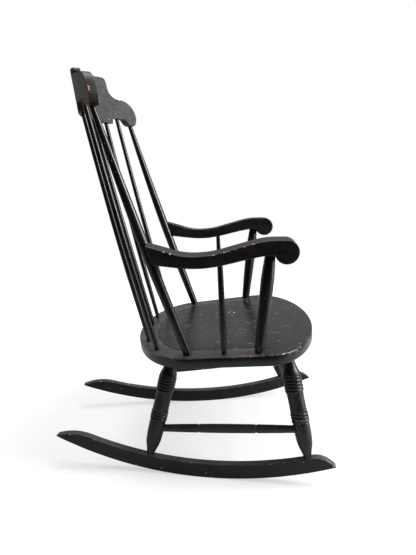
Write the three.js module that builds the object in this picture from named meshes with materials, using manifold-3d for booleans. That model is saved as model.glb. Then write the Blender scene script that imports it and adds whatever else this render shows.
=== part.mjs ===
import * as THREE from 'three';
import { mergeVertices } from 'three/addons/utils/BufferGeometryUtils.js';
import Module from 'manifold-3d';

const wasm = await Module();
wasm.setup();

// A Boston rocking chair with arms, in millimetres, +Z up.
// The sitter faces -Y and X runs across the chair, so the sitter's right side is at -X.
// The origin is on the floor, midway between the front and rear ends of the rockers.

const degrees = Math.PI / 180;
const quarterTurn = 90 * degrees;
const halfTurn = 2 * quarterTurn;
const sides = { right: -1, left: 1 };

// Fits
const fit = 0.3; // gap round every tenon, peg and screw in its hole
const overrun = 5; // how far a cutter runs past the face that it opens

// Rockers
const rockerRadius = { right: 1020, left: 1125 }; // sweep of the edge that rolls on the floor
const rockerRearReach = { right: 411, left: 424 }; // from the point that rests on the floor
const rockerFrontReach = { right: 347, left: 381 };
const rockerHeight = 40;
const rockerThickness = 22;
const rockerRearNose = 100; // length over which the rear end is tapered off
const rockerFrontNose = 62;
const rockerRearSpread = 342.4; // between the centre lines, at the longer rear end
const rockerFrontSpread = 565.8; // at the longer front end
const rockerSegments = 24;
const noseSegments = 6;

// Seat plank
const seatHeight = 351; // top face, at the rear corners
const seatPitch = 5.2 * degrees; // the front edge is the higher one
const seatSetback = 6.5; // rear corners behind the origin
const seatThickness = 29.5;
const seatFrontWidth = 606;
const seatRearWidth = 556;
const seatFrontCurve = 143; // depth of the rounded front
const seatSideLength = 197; // straight side between the front and rear curves
const seatRearCurve = 163;
const seatTopRound = 3;
const seatUnderBevel = 7;
const seatUnderBevelHeight = 8;
const seatCurveSegments = 18;

// Sitting hollow and the line cut round it
const hollowWidth = 410;
const hollowLength = 330;
const hollowDepth = 4;
const hollowForward = 82; // centre of the hollow in front of the rear corners
const grooveInset = 58; // from the seat's side to the line
const grooveRearInset = 54;
const grooveReturn = 28; // radius of the turn to the seat's edge
const grooveEndForward = 205; // where it runs out, in front of the rear corners
const grooveWidth = 3.2;
const grooveDepth = 1.6;

// Legs
const legRadius = 24.3;
const legTopRadius = 14.5;
const legFootRadius = 9.4;
const legTenonRadius = 11;
const legTenonLength = 22;
const legShoulderSink = 4; // full-size part of the leg that is let into the seat
const legFootTenonRadius = 6.2;
const legFootTenonLength = 22;
const frontLegInset = 99.5; // from the seat's front edge
const frontLegSideInset = 67;
const rearLegInset = 108; // from the seat's rear edge
const rearLegSideInset = 79;
const frontFootReach = 275; // from the point that rests on the floor
const rearFootReach = 145;
const beadDepth = 1.6;
const upperBeads = 5;
const lowerBeads = 3;

// Stretchers
const stretcherRadius = 11.9;
const stretcherEndRadius = 9.7;
const stretcherTenonRadius = 7.6;
const stretcherTenonLength = 13;
const stretcherGrooveDepth = 1.5;
const stretcherGrooveWidth = 5;
const sideStretcherShare = 0.727; // down each leg, from the seat to the rocker
const crossStretcherShare = 0.47;

// Back posts
const postRadius = 12.8;
const postBaseRadius = 10.8;
const postTopRadius = 6.9;
const postSetback = 9.5; // behind the seat's rear corners
const postSideInset = 30;
const postTopSetback = 210.5; // from the post's foot to its head, level
const postSpreadAtTop = 524;
const postBow = 4.5; // rearward, halfway up
const postTenonRadius = 8.6;
const postTenonLength = 22;
const postShoulderSink = 4;
const postTopTenonLength = 36;

// Back spindles
const spindleRadius = 7.3;
const spindleBaseRadius = 6.2;
const spindleTopRadius = 5.8;
const spindleRearInset = 24.5; // from the seat's rear edge
const spindleBaseSpread = 384; // between the outermost two
const spindleTopSpread = 396;
const spindleBow = 3.5; // rearward, halfway up
const spindleTenonLength = 20;
const spindleTopTenonLength = 22;

// Crest rail
const crestRadius = 508; // bend of the front face
const crestThickness = 24;
const crestLeftHeight = 132; // of the raised middle's end, above the lower edge
const crestRightHeight = 104; // the raised middle is lower at this end
const crestWidth = 555;
const crestLean = 8.5 * degrees;
const crestUndersideHeight = 946; // lower edge of the middle, above the floor
const crestRiserWidth = 286; // between the top corners of the raised middle
const crestNotchHeight = 18; // step up beside the middle of the lower edge
const crestEarHeight = 77;
const crestTopRound = 9; // rear top edge of the raised middle
const crestEndRound = 1.5; // rear top edge of the ears

// Arms
const armHeight = 580; // lowest point of the underside
const armRise = 69; // from there to the top of the scroll
const armWidth = 55;
const armSpread = 541; // between the centre lines
const armRoll = 2.5 * degrees; // the outer edge is the lower one
const armScrollRadius = 29;
const armReach = 353; // from the back post to the front of the scroll
const armBedding = 4; // how deep the rear end is hollowed to seat on the post
const armCurveSteps = 14;
const scrollSegments = 18;

// Arm posts and arm spindles
const armPostRadius = 16;
const armPostBaseRadius = 11.7;
const armPostTopRadius = 12.2;
const armPostForward = 169; // in front of the seat's rear corners
const armPostTopForward = 190;
const armPostSideInset = 26;
const armPostTopInset = 6; // inside the arm's centre line
const armPostTenonRadius = 8;
const armPostTenonLength = 18;
const armPostShoulderSink = 4;
const armSpindleRadius = 7.7;
const armSpindleEndRadius = 6.4;
const armSpindleForward = 82;
const armSpindleTopForward = 70;
const armSpindleSideInset = 26;
const armSpindleTopInset = 3;
const armSpindleTenonLength = 15;

// Small fastenings
const pegRadius = 2.6; // locks each leg in its rocker
const pegDepth = 11; // below the rocker's top edge
const pinRadius = 2; // locks a back spindle in the crest rail
const pinLength = 15;
const pinRise = 11; // above the crest rail's lower edge
const screwRadius = 2.3; // holds each arm to its back post
const screwGrip = 32; // thread in the arm
const screwDrop = 14.5 * degrees; // forwards and down
const screwHeadRadius = 4.4;
const screwHeadThickness = 3;
const screwHeadRecess = 1.5;

// Facets round the turned pieces
const legFacets = 14;
const postFacets = 12;
const spindleFacets = 10;
const stretcherFacets = 12;
const pegFacets = 8;

// Colours
const blackPaint = { color: 0x1d1d1e, roughness: 0.45, metalness: 0 };
const bareWood = { color: 0xc9a98c, roughness: 0.7, metalness: 0 };
const steel = { color: 0x6f6f70, roughness: 0.4, metalness: 0.9 };

const up = new THREE.Vector3(0, 0, 1);
const rearward = new THREE.Vector3(0, 1, 0);

const weldShare = 0.001; // corners closer than this share of the fit are one

// A closed solid from any closed geometry, with its faces turned outwards
function solidOf(geometry) {
  const bare = new THREE.BufferGeometry();
  bare.setAttribute('position', geometry.getAttribute('position'));
  bare.setIndex(geometry.getIndex());
  const merged = mergeVertices(bare, fit * weldShare);
  const vertProperties = new Float32Array(merged.getAttribute('position').array);
  const index = merged.getIndex().array;
  const kept = [];
  for (let i = 0; i < index.length; i += 3) {
    const [a, b, c] = [index[i], index[i + 1], index[i + 2]];
    if (a !== b && b !== c && c !== a) kept.push(a, b, c);
  }
  const build = (order) => new wasm.Manifold(new wasm.Mesh({
    numProp: 3,
    vertProperties,
    triVerts: new Uint32Array(order),
  }));
  const solid = build(kept);
  if (solid.volume() > 0) return solid;
  return build(kept.slice().reverse());
}

// The geometry of a solid, seen from the frame that its mesh is placed in
function geometryOf(solid, frame) {
  const inverse = frame.clone().invert();
  const { vertProperties, triVerts } = solid.transform(inverse.elements).getMesh();
  const geometry = new THREE.BufferGeometry();
  geometry.setAttribute('position', new THREE.BufferAttribute(new Float32Array(vertProperties), 3));
  geometry.setIndex(new THREE.BufferAttribute(new Uint32Array(triVerts), 1));
  geometry.computeVertexNormals();
  return geometry;
}

// Every finished piece: its name, look, frame and solid, the solid in the chair's own frame
const pieces = new Map();

function addPiece(name, look, frame, solid) {
  pieces.set(name, { look, frame, solid });
}

function cut(name, cutter) {
  const piece = pieces.get(name);
  piece.solid = piece.solid.subtract(cutter);
}

// A frame whose Y axis runs from one point towards another
function frameAlong(from, to, reference) {
  const along = to.clone().sub(from).normalize();
  const across = reference.clone().addScaledVector(along, -along.dot(reference)).normalize();
  const third = new THREE.Vector3().crossVectors(across, along);
  return new THREE.Matrix4().makeBasis(across, along, third).setPosition(from);
}

// A turned solid along a frame's Y axis. The profile lists [radius, distance] from end to end.
// A bend moves each ring along the frame's X axis.
function turned(frame, profile, facets, { grow = 0, bend = () => 0 } = {}) {
  const start = profile[0][1] - grow;
  const end = profile[profile.length - 1][1] + grow;
  const rings = profile.map(([radius, along]) => new THREE.Vector2(radius + grow, along));
  rings[0].y = start;
  rings[rings.length - 1].y = end;
  const outline = [new THREE.Vector2(0, start), ...rings, new THREE.Vector2(0, end)];
  const geometry = new THREE.LatheGeometry(outline, facets);
  const position = geometry.getAttribute('position');
  for (let i = 0; i < position.count; i += 1) {
    position.setX(i, position.getX(i) + bend(position.getY(i)));
  }
  return solidOf(geometry).transform(frame.elements);
}

// Adds a turned piece between two points and cuts its holes in what it enters
function addTurned(name, look, from, to, reference, facets, profile, hosts, bend) {
  const frame = frameAlong(from, to, reference);
  addPiece(name, look, frame, turned(frame, profile, facets, { bend }));
  const hole = turned(frame, profile, facets, { bend, grow: fit });
  for (const host of hosts) cut(host, hole);
}

// Rows of beads between two places on a turned piece
function beadRow(start, end, count, radius, depth) {
  const pitch = (end - start) / count;
  const rings = [[radius - depth, start]];
  for (let i = 0; i < count; i += 1) {
    rings.push([radius, start + pitch * (i + 0.5)]);
    rings.push([radius - depth, start + pitch * (i + 1)]);
  }
  return rings;
}

// Rockers

// Every point of a rocker is given by its reach from the point that rests on the floor
function rockerBottomAt(reach, side) {
  return rockerRadius[side] - Math.sqrt(rockerRadius[side] ** 2 - reach ** 2);
}

// Height of the rocker at a reach, less where an end is tapered off
function rockerHeightAt(reach, side) {
  const rearLeft = (rockerRearReach[side] - reach) / rockerRearNose;
  const frontLeft = (rockerFrontReach[side] + reach) / rockerFrontNose;
  const left = Math.min(1, rearLeft, frontLeft);
  return rockerHeight * (1 - (1 - left) ** 2);
}

// Reaches from the front end to the rear end, closer together at the tapered ends
function rockerReaches(side) {
  const frontReach = rockerFrontReach[side];
  const rearReach = rockerRearReach[side];
  const list = [];
  const frontBody = rockerFrontNose - frontReach;
  const rearBody = rearReach - rockerRearNose;
  for (let i = 0; i < noseSegments; i += 1) {
    list.push(-frontReach + rockerFrontNose * (i / noseSegments));
  }
  for (let i = 0; i <= rockerSegments; i += 1) {
    list.push(frontBody + (rearBody - frontBody) * (i / rockerSegments));
  }
  for (let i = noseSegments - 1; i >= 0; i -= 1) {
    list.push(rearReach - rockerRearNose * (i / noseSegments));
  }
  return list;
}

// The rolling edge is cut in flats of one length, and one of them lies under the resting point
const rockerFlat = (rockerRearReach.left + rockerFrontReach.left) / (rockerSegments + 1);

function rockerFlatLift(side) {
  return rockerBottomAt(rockerFlat / 2, side);
}

function rockerBottomOutline(side) {
  const list = [];
  const first = 0.5 - Math.floor(rockerFrontReach[side] / rockerFlat);
  const last = Math.floor(rockerRearReach[side] / rockerFlat) - 0.5;
  for (let i = first; i <= last; i += 1) {
    const reach = i * rockerFlat;
    list.push(new THREE.Vector2(reach, rockerBottomAt(reach, side) - rockerFlatLift(side)));
  }
  return list;
}

function rockerTopAt(reach, side) {
  return rockerBottomAt(reach, side) + rockerHeightAt(reach, side) - rockerFlatLift(side);
}

function rockerShape(side) {
  const top = rockerReaches(side).map((reach) => new THREE.Vector2(reach, rockerTopAt(reach, side)));
  const [frontTip, rearTip] = [top[0], top[top.length - 1]];
  const rest = top.slice(1, -1).reverse();
  return new THREE.Shape([frontTip, ...rockerBottomOutline(side), rearTip, ...rest]);
}

const rockerLength = rockerRearReach.left + rockerFrontReach.left;
const toeIn = Math.asin((rockerFrontSpread - rockerRearSpread) / 2 / rockerLength);
const rockerEndY = (rockerLength * Math.cos(toeIn)) / 2;

// X runs rearwards along the rocker, Y up, and Z through its thickness
function rockerFrame(side) {
  const along = new THREE.Vector3(-sides[side] * Math.sin(toeIn), Math.cos(toeIn), 0);
  const through = new THREE.Vector3().crossVectors(along, up);
  const rearEnd = new THREE.Vector3(sides[side] * (rockerRearSpread / 2), rockerEndY, 0);
  const resting = rearEnd.addScaledVector(along, -rockerRearReach.left);
  return new THREE.Matrix4().makeBasis(along, up, through).setPosition(resting);
}

function onRocker(side, reach, height) {
  return new THREE.Vector3(reach, height, 0).applyMatrix4(rockerFrame(side));
}

for (const side of Object.keys(sides)) {
  const options = { depth: rockerThickness, bevelEnabled: false };
  const geometry = new THREE.ExtrudeGeometry(rockerShape(side), options);
  geometry.translate(0, 0, -rockerThickness / 2);
  const frame = rockerFrame(side);
  addPiece(`rocker_${side}`, blackPaint, frame, solidOf(geometry).transform(frame.elements));
}

// Seat plank, laid out on its own top face: X across, Y rearwards from the rear corners

const seatFrame = new THREE.Matrix4()
  .makeRotationX(-seatPitch)
  .setPosition(new THREE.Vector3(0, seatSetback, seatHeight));
const seatFrontEdge = -(seatSideLength + seatFrontCurve);

function onSeat(x, y, below = 0) {
  return new THREE.Vector3(x, y, -below).applyMatrix4(seatFrame);
}

function seatHalfWidthAt(y) {
  if (y > 0) return (seatRearWidth / 2) * Math.sqrt(1 - (y / seatRearCurve) ** 2);
  if (y > -seatSideLength) {
    const forwards = -y / seatSideLength;
    return (seatRearWidth + (seatFrontWidth - seatRearWidth) * forwards) / 2;
  }
  return (seatFrontWidth / 2) * Math.sqrt(1 - ((y + seatSideLength) / seatFrontCurve) ** 2);
}

function seatRearEdgeAt(x) {
  return seatRearCurve * Math.sqrt(1 - (x / (seatRearWidth / 2)) ** 2);
}

// The seat's outline, drawn in by an inset
function seatOutline(inset) {
  const list = [];
  for (let i = 0; i <= seatCurveSegments; i += 1) {
    const turn = (i / seatCurveSegments) * halfTurn;
    const x = (seatRearWidth / 2 - inset) * Math.cos(turn);
    list.push(new THREE.Vector2(x, (seatRearCurve - inset) * Math.sin(turn)));
  }
  for (let i = 0; i <= seatCurveSegments; i += 1) {
    const turn = (1 + i / seatCurveSegments) * halfTurn;
    const x = (seatFrontWidth / 2 - inset) * Math.cos(turn);
    list.push(new THREE.Vector2(x, -seatSideLength + (seatFrontCurve - inset) * Math.sin(turn)));
  }
  return list;
}

// A closed body through outlines of equal count, each at its own height, lowest first
function lofted(levels) {
  const count = levels[0].outline.length;
  const vertices = [];
  for (const { outline, height } of levels) {
    for (const point of outline) vertices.push(point.x, point.y, height);
  }
  const index = [];
  for (let level = 0; level + 1 < levels.length; level += 1) {
    for (let i = 0; i < count; i += 1) {
      const next = (i + 1) % count;
      const [a, b] = [level * count + i, level * count + next];
      index.push(a, b, b + count, a, b + count, a + count);
    }
  }
  const lastRing = (levels.length - 1) * count;
  for (const [a, b, c] of THREE.ShapeUtils.triangulateShape(levels[0].outline, [])) {
    index.push(a, c, b);
    index.push(lastRing + a, lastRing + b, lastRing + c);
  }
  const geometry = new THREE.BufferGeometry();
  geometry.setAttribute('position', new THREE.Float32BufferAttribute(vertices, 3));
  geometry.setIndex(index);
  return geometry;
}

const hollowRingShares = [0, 0.3, 0.55, 0.8, 1];

// The hollow that the sitter rests in, deepest in its middle
function hollowCutter() {
  const outline = hollowRingShares.map((share) => (
    new THREE.Vector2(share, hollowDepth * (share ** 2 - 1))
  ));
  outline.push(new THREE.Vector2(1, overrun), new THREE.Vector2(0, overrun));
  const geometry = new THREE.LatheGeometry(outline, seatCurveSegments * 2);
  geometry.rotateX(quarterTurn);
  geometry.scale(hollowWidth / 2, hollowLength / 2, 1);
  geometry.translate(0, -hollowForward, 0);
  return solidOf(geometry);
}

// The cut line: round the back at an even inset, forwards along both sides, and out to the edge
function grooveLine() {
  const halfRear = seatRearWidth / 2 - grooveInset;
  const depthRear = seatRearCurve - grooveRearInset;
  const taper = (seatFrontWidth - seatRearWidth) / 2 / seatSideLength;
  const turnY = grooveReturn - grooveEndForward;
  const turnX = halfRear - taper * turnY;
  const half = [];
  for (let i = 0; i <= seatCurveSegments / 2; i += 1) {
    const turn = quarterTurn - (i / seatCurveSegments) * halfTurn;
    half.push(new THREE.Vector2(halfRear * Math.cos(turn), depthRear * Math.sin(turn)));
  }
  for (let i = 0; i <= noseSegments; i += 1) {
    const turn = (i / noseSegments) * quarterTurn;
    const x = turnX + grooveReturn * (1 - Math.cos(turn));
    half.push(new THREE.Vector2(x, turnY - grooveReturn * Math.sin(turn)));
  }
  half.push(new THREE.Vector2(seatFrontWidth / 2 + overrun, turnY - grooveReturn));
  const mirrored = half.slice(1).reverse().map((point) => new THREE.Vector2(-point.x, point.y));
  return [...mirrored, ...half];
}

function grooveCutter() {
  const line = grooveLine();
  const vertices = [];
  line.forEach((point, i) => {
    const before = line[Math.max(0, i - 1)];
    const after = line[Math.min(line.length - 1, i + 1)];
    const along = after.clone().sub(before).normalize();
    const aside = new THREE.Vector2(-along.y, along.x).multiplyScalar(grooveWidth / 2);
    const flare = (grooveDepth + overrun) / grooveDepth;
    vertices.push(point.x + aside.x * flare, point.y + aside.y * flare, overrun);
    vertices.push(point.x - aside.x * flare, point.y - aside.y * flare, overrun);
    vertices.push(point.x, point.y, -grooveDepth);
  });
  const index = [0, 2, 1];
  for (let i = 0; i + 1 < line.length; i += 1) {
    for (let k = 0; k < 3; k += 1) {
      const [a, b] = [3 * i + k, 3 * i + ((k + 1) % 3)];
      index.push(a, b, b + 3, a, b + 3, a + 3);
    }
  }
  const last = 3 * (line.length - 1);
  index.push(last, last + 1, last + 2);
  const geometry = new THREE.BufferGeometry();
  geometry.setAttribute('position', new THREE.Float32BufferAttribute(vertices, 3));
  geometry.setIndex(index);
  return solidOf(geometry);
}

const seatPlank = solidOf(lofted([
  { outline: seatOutline(seatUnderBevel), height: -seatThickness },
  { outline: seatOutline(0), height: seatUnderBevelHeight - seatThickness },
  { outline: seatOutline(0), height: -seatTopRound },
  { outline: seatOutline(seatTopRound), height: 0 },
])).subtract(hollowCutter()).subtract(grooveCutter());
addPiece('seat', blackPaint, seatFrame, seatPlank.transform(seatFrame.elements));

// Legs, each turned with a swelling body, two groups of beads and a slender foot

// [share of the leg's length, share of its largest radius]
const legNeckShares = [[0.05, 0.62], [0.093, 0.67], [0.13, 0.745], [0.17, 0.9]];
const upperBeadShares = [0.206, 0.363];
const legWaistShares = [[0.4, 0.88], [0.5, 0.88]];
const lowerBeadShares = [0.56, 0.655];
const lowerBeadRadiusShare = 0.95;
const legCalfShares = [[0.69, 0.893], [0.76, 0.883], [0.81, 0.85], [0.85, 0.81], [0.89, 0.725], [0.94, 0.545]];
const legAtStretcherShare = 0.88;

// The neck and both groups of beads sit higher on the rear legs, by a share of their length
function legProfile(length, raiseShare) {
  const scaled = (rows, raise) => (
    rows.map(([along, radius]) => [legRadius * radius, length * (along - raise)])
  );
  const beads = (ends, count, radius) => {
    const [start, end] = ends.map((share) => (share - raiseShare) * length);
    return beadRow(start, end, count, radius, beadDepth);
  };
  return [
    [legTenonRadius, -legTenonLength],
    [legTenonRadius, -legShoulderSink],
    [legTopRadius, -legShoulderSink],
    [legTopRadius, 0],
    ...scaled(legNeckShares, raiseShare),
    ...beads(upperBeadShares, upperBeads, legRadius),
    ...scaled(legWaistShares, raiseShare),
    ...beads(lowerBeadShares, lowerBeads, legRadius * lowerBeadRadiusShare),
    ...scaled(legCalfShares, 0),
    [legFootRadius, length],
    [legFootTenonRadius, length + legFootTenonLength],
  ];
}

const legRows = {
  front: {
    seatY: seatFrontEdge + frontLegInset,
    sideInset: frontLegSideInset,
    raiseShare: 0,
    reach: -frontFootReach,
  },
  rear: {
    seatY: seatRearCurve - rearLegInset,
    sideInset: rearLegSideInset,
    raiseShare: 0.019,
    reach: rearFootReach,
  },
};

// The two ends of a leg's visible length: under the seat and on the rocker
function legEnds(row, side) {
  const { seatY, sideInset, reach } = legRows[row];
  const top = onSeat(sides[side] * (seatHalfWidthAt(seatY) - sideInset), seatY, seatThickness);
  const foot = onRocker(side, reach, rockerTopAt(reach, side));
  return { top, foot };
}

for (const side of Object.keys(sides)) {
  for (const row of Object.keys(legRows)) {
    const { top, foot } = legEnds(row, side);
    const profile = legProfile(top.distanceTo(foot), legRows[row].raiseShare);
    const hosts = ['seat', `rocker_${side}`];
    addTurned(`${row}_leg_${side}`, blackPaint, top, foot, rearward, legFacets, profile, hosts);
  }
}

// Pegs through each rocker and the foot that stands in it
for (const side of Object.keys(sides)) {
  for (const [row, { reach }] of Object.entries(legRows)) {
    const through = new THREE.Vector3().setFromMatrixColumn(rockerFrame(side), 2);
    const { top, foot } = legEnds(row, side);
    const down = foot.clone().sub(top).normalize();
    const centre = foot.clone().addScaledVector(down, pegDepth);
    const onPlane = onRocker(side, reach, 0);
    centre.addScaledVector(through, onPlane.sub(centre).dot(through));
    const half = rockerThickness / 2;
    const from = centre.clone().addScaledVector(through, -half);
    const to = centre.clone().addScaledVector(through, half);
    const profile = [[pegRadius, 0], [pegRadius, rockerThickness]];
    const hosts = [`rocker_${side}`, `${row}_leg_${side}`];
    addTurned(`${row}_foot_peg_${side}`, blackPaint, from, to, up, pegFacets, profile, hosts);
  }
}

// Stretchers, thickest in the middle, with two turned grooves

const stretcherGrooveShares = [0.28, 0.72];
const stretcherEndShare = 0.12; // where the ends have begun to swell

function stretcherProfile(length) {
  const swell = (share) => {
    const rise = Math.sin(share * halfTurn);
    return stretcherEndRadius + (stretcherRadius - stretcherEndRadius) * rise;
  };
  const rings = [
    [stretcherTenonRadius, -stretcherTenonLength],
    [stretcherEndRadius, 0],
    [swell(stretcherEndShare), length * stretcherEndShare],
  ];
  for (const share of stretcherGrooveShares) {
    const middle = share * length;
    const radius = swell(share);
    rings.push([radius, middle - stretcherGrooveWidth / 2]);
    rings.push([radius - stretcherGrooveDepth, middle]);
    rings.push([radius, middle + stretcherGrooveWidth / 2]);
    if (share < 0.5) rings.push([swell(0.5), length * 0.5]);
  }
  rings.push([swell(stretcherEndShare), length * (1 - stretcherEndShare)]);
  rings.push([stretcherEndRadius, length]);
  rings.push([stretcherTenonRadius, length + stretcherTenonLength]);
  return rings;
}

// A point on a leg's axis, a share of the way from the seat to the rocker
function onLeg(row, side, share) {
  const { top, foot } = legEnds(row, side);
  return top.lerp(foot, share);
}

// A stretcher runs between two legs' axes and its visible length starts at their surfaces
function addStretcher(name, from, to, hosts) {
  const along = to.clone().sub(from).normalize();
  const start = from.clone().addScaledVector(along, legRadius * legAtStretcherShare);
  const end = to.clone().addScaledVector(along, -legRadius * legAtStretcherShare);
  const profile = stretcherProfile(start.distanceTo(end));
  addTurned(name, blackPaint, start, end, up, stretcherFacets, profile, hosts);
}

for (const side of Object.keys(sides)) {
  const from = onLeg('rear', side, sideStretcherShare);
  const to = onLeg('front', side, sideStretcherShare);
  const hosts = [`rear_leg_${side}`, `front_leg_${side}`];
  addStretcher(`side_stretcher_${side}`, from, to, hosts);
}
for (const row of Object.keys(legRows)) {
  const from = onLeg(row, 'right', crossStretcherShare);
  const to = onLeg(row, 'left', crossStretcherShare);
  addStretcher(`${row}_stretcher`, from, to, [`${row}_leg_right`, `${row}_leg_left`]);
}

// Crest rail, laid out from the middle of its front face: X across, Y rearwards, Z up

function postBase(side) {
  return onSeat(side * (seatHalfWidthAt(postSetback) - postSideInset), postSetback);
}

function postHead(side) {
  const base = postBase(side);
  const headY = base.y + postTopSetback;
  return new THREE.Vector3(side * (postSpreadAtTop / 2), headY, crestUndersideHeight);
}

// The middle of the crest's thickness lies over the heads of the posts
const crestMiddleRadius = crestRadius + crestThickness / 2;
const crestDepthAtPosts = Math.sqrt(crestMiddleRadius ** 2 - (postSpreadAtTop / 2) ** 2);
const crestFaceY = postHead(sides.left).y + crestRadius - crestDepthAtPosts;
const crestFrame = new THREE.Matrix4().setPosition(0, crestFaceY, crestUndersideHeight);

// A point of the crest: along its front face, up, and into its thickness
function crestPoint(x, rise, depth) {
  const turn = Math.asin(x / crestRadius);
  const across = (crestRadius + depth) * Math.sin(turn);
  const back = (crestRadius + depth) * Math.cos(turn) - crestRadius;
  return new THREE.Vector3(across, back + rise * Math.tan(crestLean), rise);
}

function inCrest(x, rise) {
  return crestPoint(x, rise, crestThickness / 2).applyMatrix4(crestFrame);
}

const crestShares = {
  // [share of half the width of the raised middle, share of its rise above the ears]
  shoulder: [[1, 1], [1.065, 0.93], [1.1, 0.72], [1.12, 0.4], [1.19, 0.2], [1.3, 0.06], [1.45, 0]],
  // [share of half the rail's width, share of the ear's height]
  // The right ear is the fuller one
  earTop: {
    left: [[0.85, 1], [0.918, 0.9], [0.974, 0.7], [1, 0.42]],
    right: [[0.85, 1], [0.915, 0.965], [0.968, 0.8], [1, 0.42]],
  },
  earUnder: {
    left: [[0.992, 0.23], [0.968, 0.08], [0.92, 0], [0.865, 0.055], [0.828, 0.2], [0.8, 0.29]],
    right: [[0.997, 0.21], [0.98, 0.06], [0.935, 0], [0.865, 0.055], [0.828, 0.2], [0.8, 0.29]],
  },
  // [share of half the rail's width, share of the notch's height]
  notch: [[0.563, 0], [0.583, 1]],
};
const crestExtraShares = [0.13, 0.26, 0.39, 0.66];

// The height given by a table of places and heights, in order of place
function readTable(table, place) {
  const next = table.findIndex((row) => row[0] >= place);
  if (next < 0) return table[table.length - 1][1];
  if (next === 0) return table[0][1];
  const [a, b] = [table[next - 1], table[next]];
  return a[1] + ((b[1] - a[1]) * (place - a[0])) / (b[0] - a[0]);
}

// Lower and upper edges at a list of places, from the middle to one end
function crestStations(side) {
  const half = crestWidth / 2;
  const riser = crestRiserWidth / 2;
  const cornerHeight = side === 'left' ? crestLeftHeight : crestRightHeight;
  const middleHeight = (crestLeftHeight + crestRightHeight) / 2;
  const rise = cornerHeight - crestEarHeight;
  const upper = [
    [0, middleHeight],
    ...crestShares.shoulder.map(([x, share]) => [x * riser, crestEarHeight + share * rise]),
    ...crestShares.earTop[side].map(([x, share]) => [x * half, share * crestEarHeight]),
  ];
  const earUnder = crestShares.earUnder[side];
  const underEar = earUnder.map(([x, share]) => [x * half, share * crestEarHeight]);
  const tip = upper[upper.length - 1];
  const lower = [
    [0, 0],
    ...crestShares.notch.map(([x, share]) => [x * half, share * crestNotchHeight]),
    ...underEar.reverse(),
    [tip[0], tip[1] - fit],
  ];
  const extra = crestExtraShares.map((share) => [share * half]);
  const places = [...new Set([...upper, ...lower, ...extra].map((row) => row[0]))];
  places.sort((a, b) => a - b);
  return places.map((x) => {
    const [low, high] = [readTable(lower, x), readTable(upper, x)];
    const round = x > riser ? crestEndRound : crestTopRound;
    return { x: sides[side] * x, low, high, round: Math.min(round, (high - low) / 2) };
  });
}

// Each station gives five corners: front low, front high, two on the eased rear top edge, rear low
const crestCorners = 5;

function crestGeometry() {
  const right = crestStations('right').slice(1).reverse();
  const stations = [...right, ...crestStations('left')];
  const vertices = [];
  for (const { x, low, high, round } of stations) {
    vertices.push(...crestPoint(x, low, 0).toArray());
    vertices.push(...crestPoint(x, high, 0).toArray());
    vertices.push(...crestPoint(x, high, crestThickness - round).toArray());
    vertices.push(...crestPoint(x, high - round, crestThickness).toArray());
    vertices.push(...crestPoint(x, low, crestThickness).toArray());
  }
  const index = [0, 1, 2, 0, 2, 3, 0, 3, 4];
  for (let i = 0; i + 1 < stations.length; i += 1) {
    for (let k = 0; k < crestCorners; k += 1) {
      const [a, b] = [crestCorners * i + k, crestCorners * i + ((k + 1) % crestCorners)];
      index.push(a, b + crestCorners, b, a, a + crestCorners, b + crestCorners);
    }
  }
  const last = crestCorners * (stations.length - 1);
  index.push(last, last + 2, last + 1, last, last + 3, last + 2, last, last + 4, last + 3);
  const geometry = new THREE.BufferGeometry();
  geometry.setAttribute('position', new THREE.Float32BufferAttribute(vertices, 3));
  geometry.setIndex(index);
  return geometry;
}

addPiece('crest_rail', blackPaint, crestFrame, solidOf(crestGeometry()).transform(crestFrame.elements));

// Back posts

const postShares = {
  // [share of the length, share of the way from an end's radius to the largest]
  lower: [[0.15, 0.5], [0.34, 1]],
  upper: [[0.5, 1], [0.7, 0.67], [0.87, 0.33]],
};

function postProfile(length) {
  const between = (endRadius, rows) => rows.map(([along, share]) => (
    [endRadius + (postRadius - endRadius) * share, length * along]
  ));
  return [
    [postTenonRadius, -postTenonLength],
    [postTenonRadius, -postShoulderSink],
    [postBaseRadius, -postShoulderSink],
    [postBaseRadius, 0],
    ...between(postBaseRadius, postShares.lower),
    ...between(postTopRadius, postShares.upper),
    [postTopRadius, length],
    [postTopRadius, length + postTopTenonLength],
  ];
}

// A bow of a given depth between the two ends of a piece, and none in its tenons
function bowed(depth, length) {
  return (along) => depth * Math.sin(Math.min(1, Math.max(0, along / length)) * halfTurn);
}

for (const [sideName, side] of Object.entries(sides)) {
  const [base, head] = [postBase(side), postHead(side)];
  const length = base.distanceTo(head);
  const bow = bowed(postBow, length);
  const hosts = ['seat', 'crest_rail'];
  const profile = postProfile(length);
  addTurned(`back_post_${sideName}`, blackPaint, base, head, rearward, postFacets, profile, hosts, bow);
}

// Back spindles, numbered from the sitter's right

// [share of the length, share of the way from the slimmest radius to the largest]
const spindleShares = [[0.15, 0.65], [0.3, 1], [0.45, 1], [0.75, 0.5]];

function spindleProfile(length) {
  const swell = spindleRadius - spindleTopRadius;
  return [
    [spindleBaseRadius, -spindleTenonLength],
    [spindleBaseRadius, 0],
    ...spindleShares.map(([along, share]) => [spindleTopRadius + swell * share, length * along]),
    [spindleTopRadius, length],
    [spindleTopRadius, length + spindleTopTenonLength],
  ];
}

// Shares of the way from the centre line to the outermost spindle, at the seat and at the crest,
// and of the rear inset: the fourth spindle stands a little further forward
const spindlePlaceShares = [
  [-1, -1, 1],
  [-0.61, -0.67, 1],
  [-0.225, -0.235, 1],
  [0.185, 0.235, 1.3],
  [0.59, 0.67, 1],
  [1, 1, 1],
];

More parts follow.
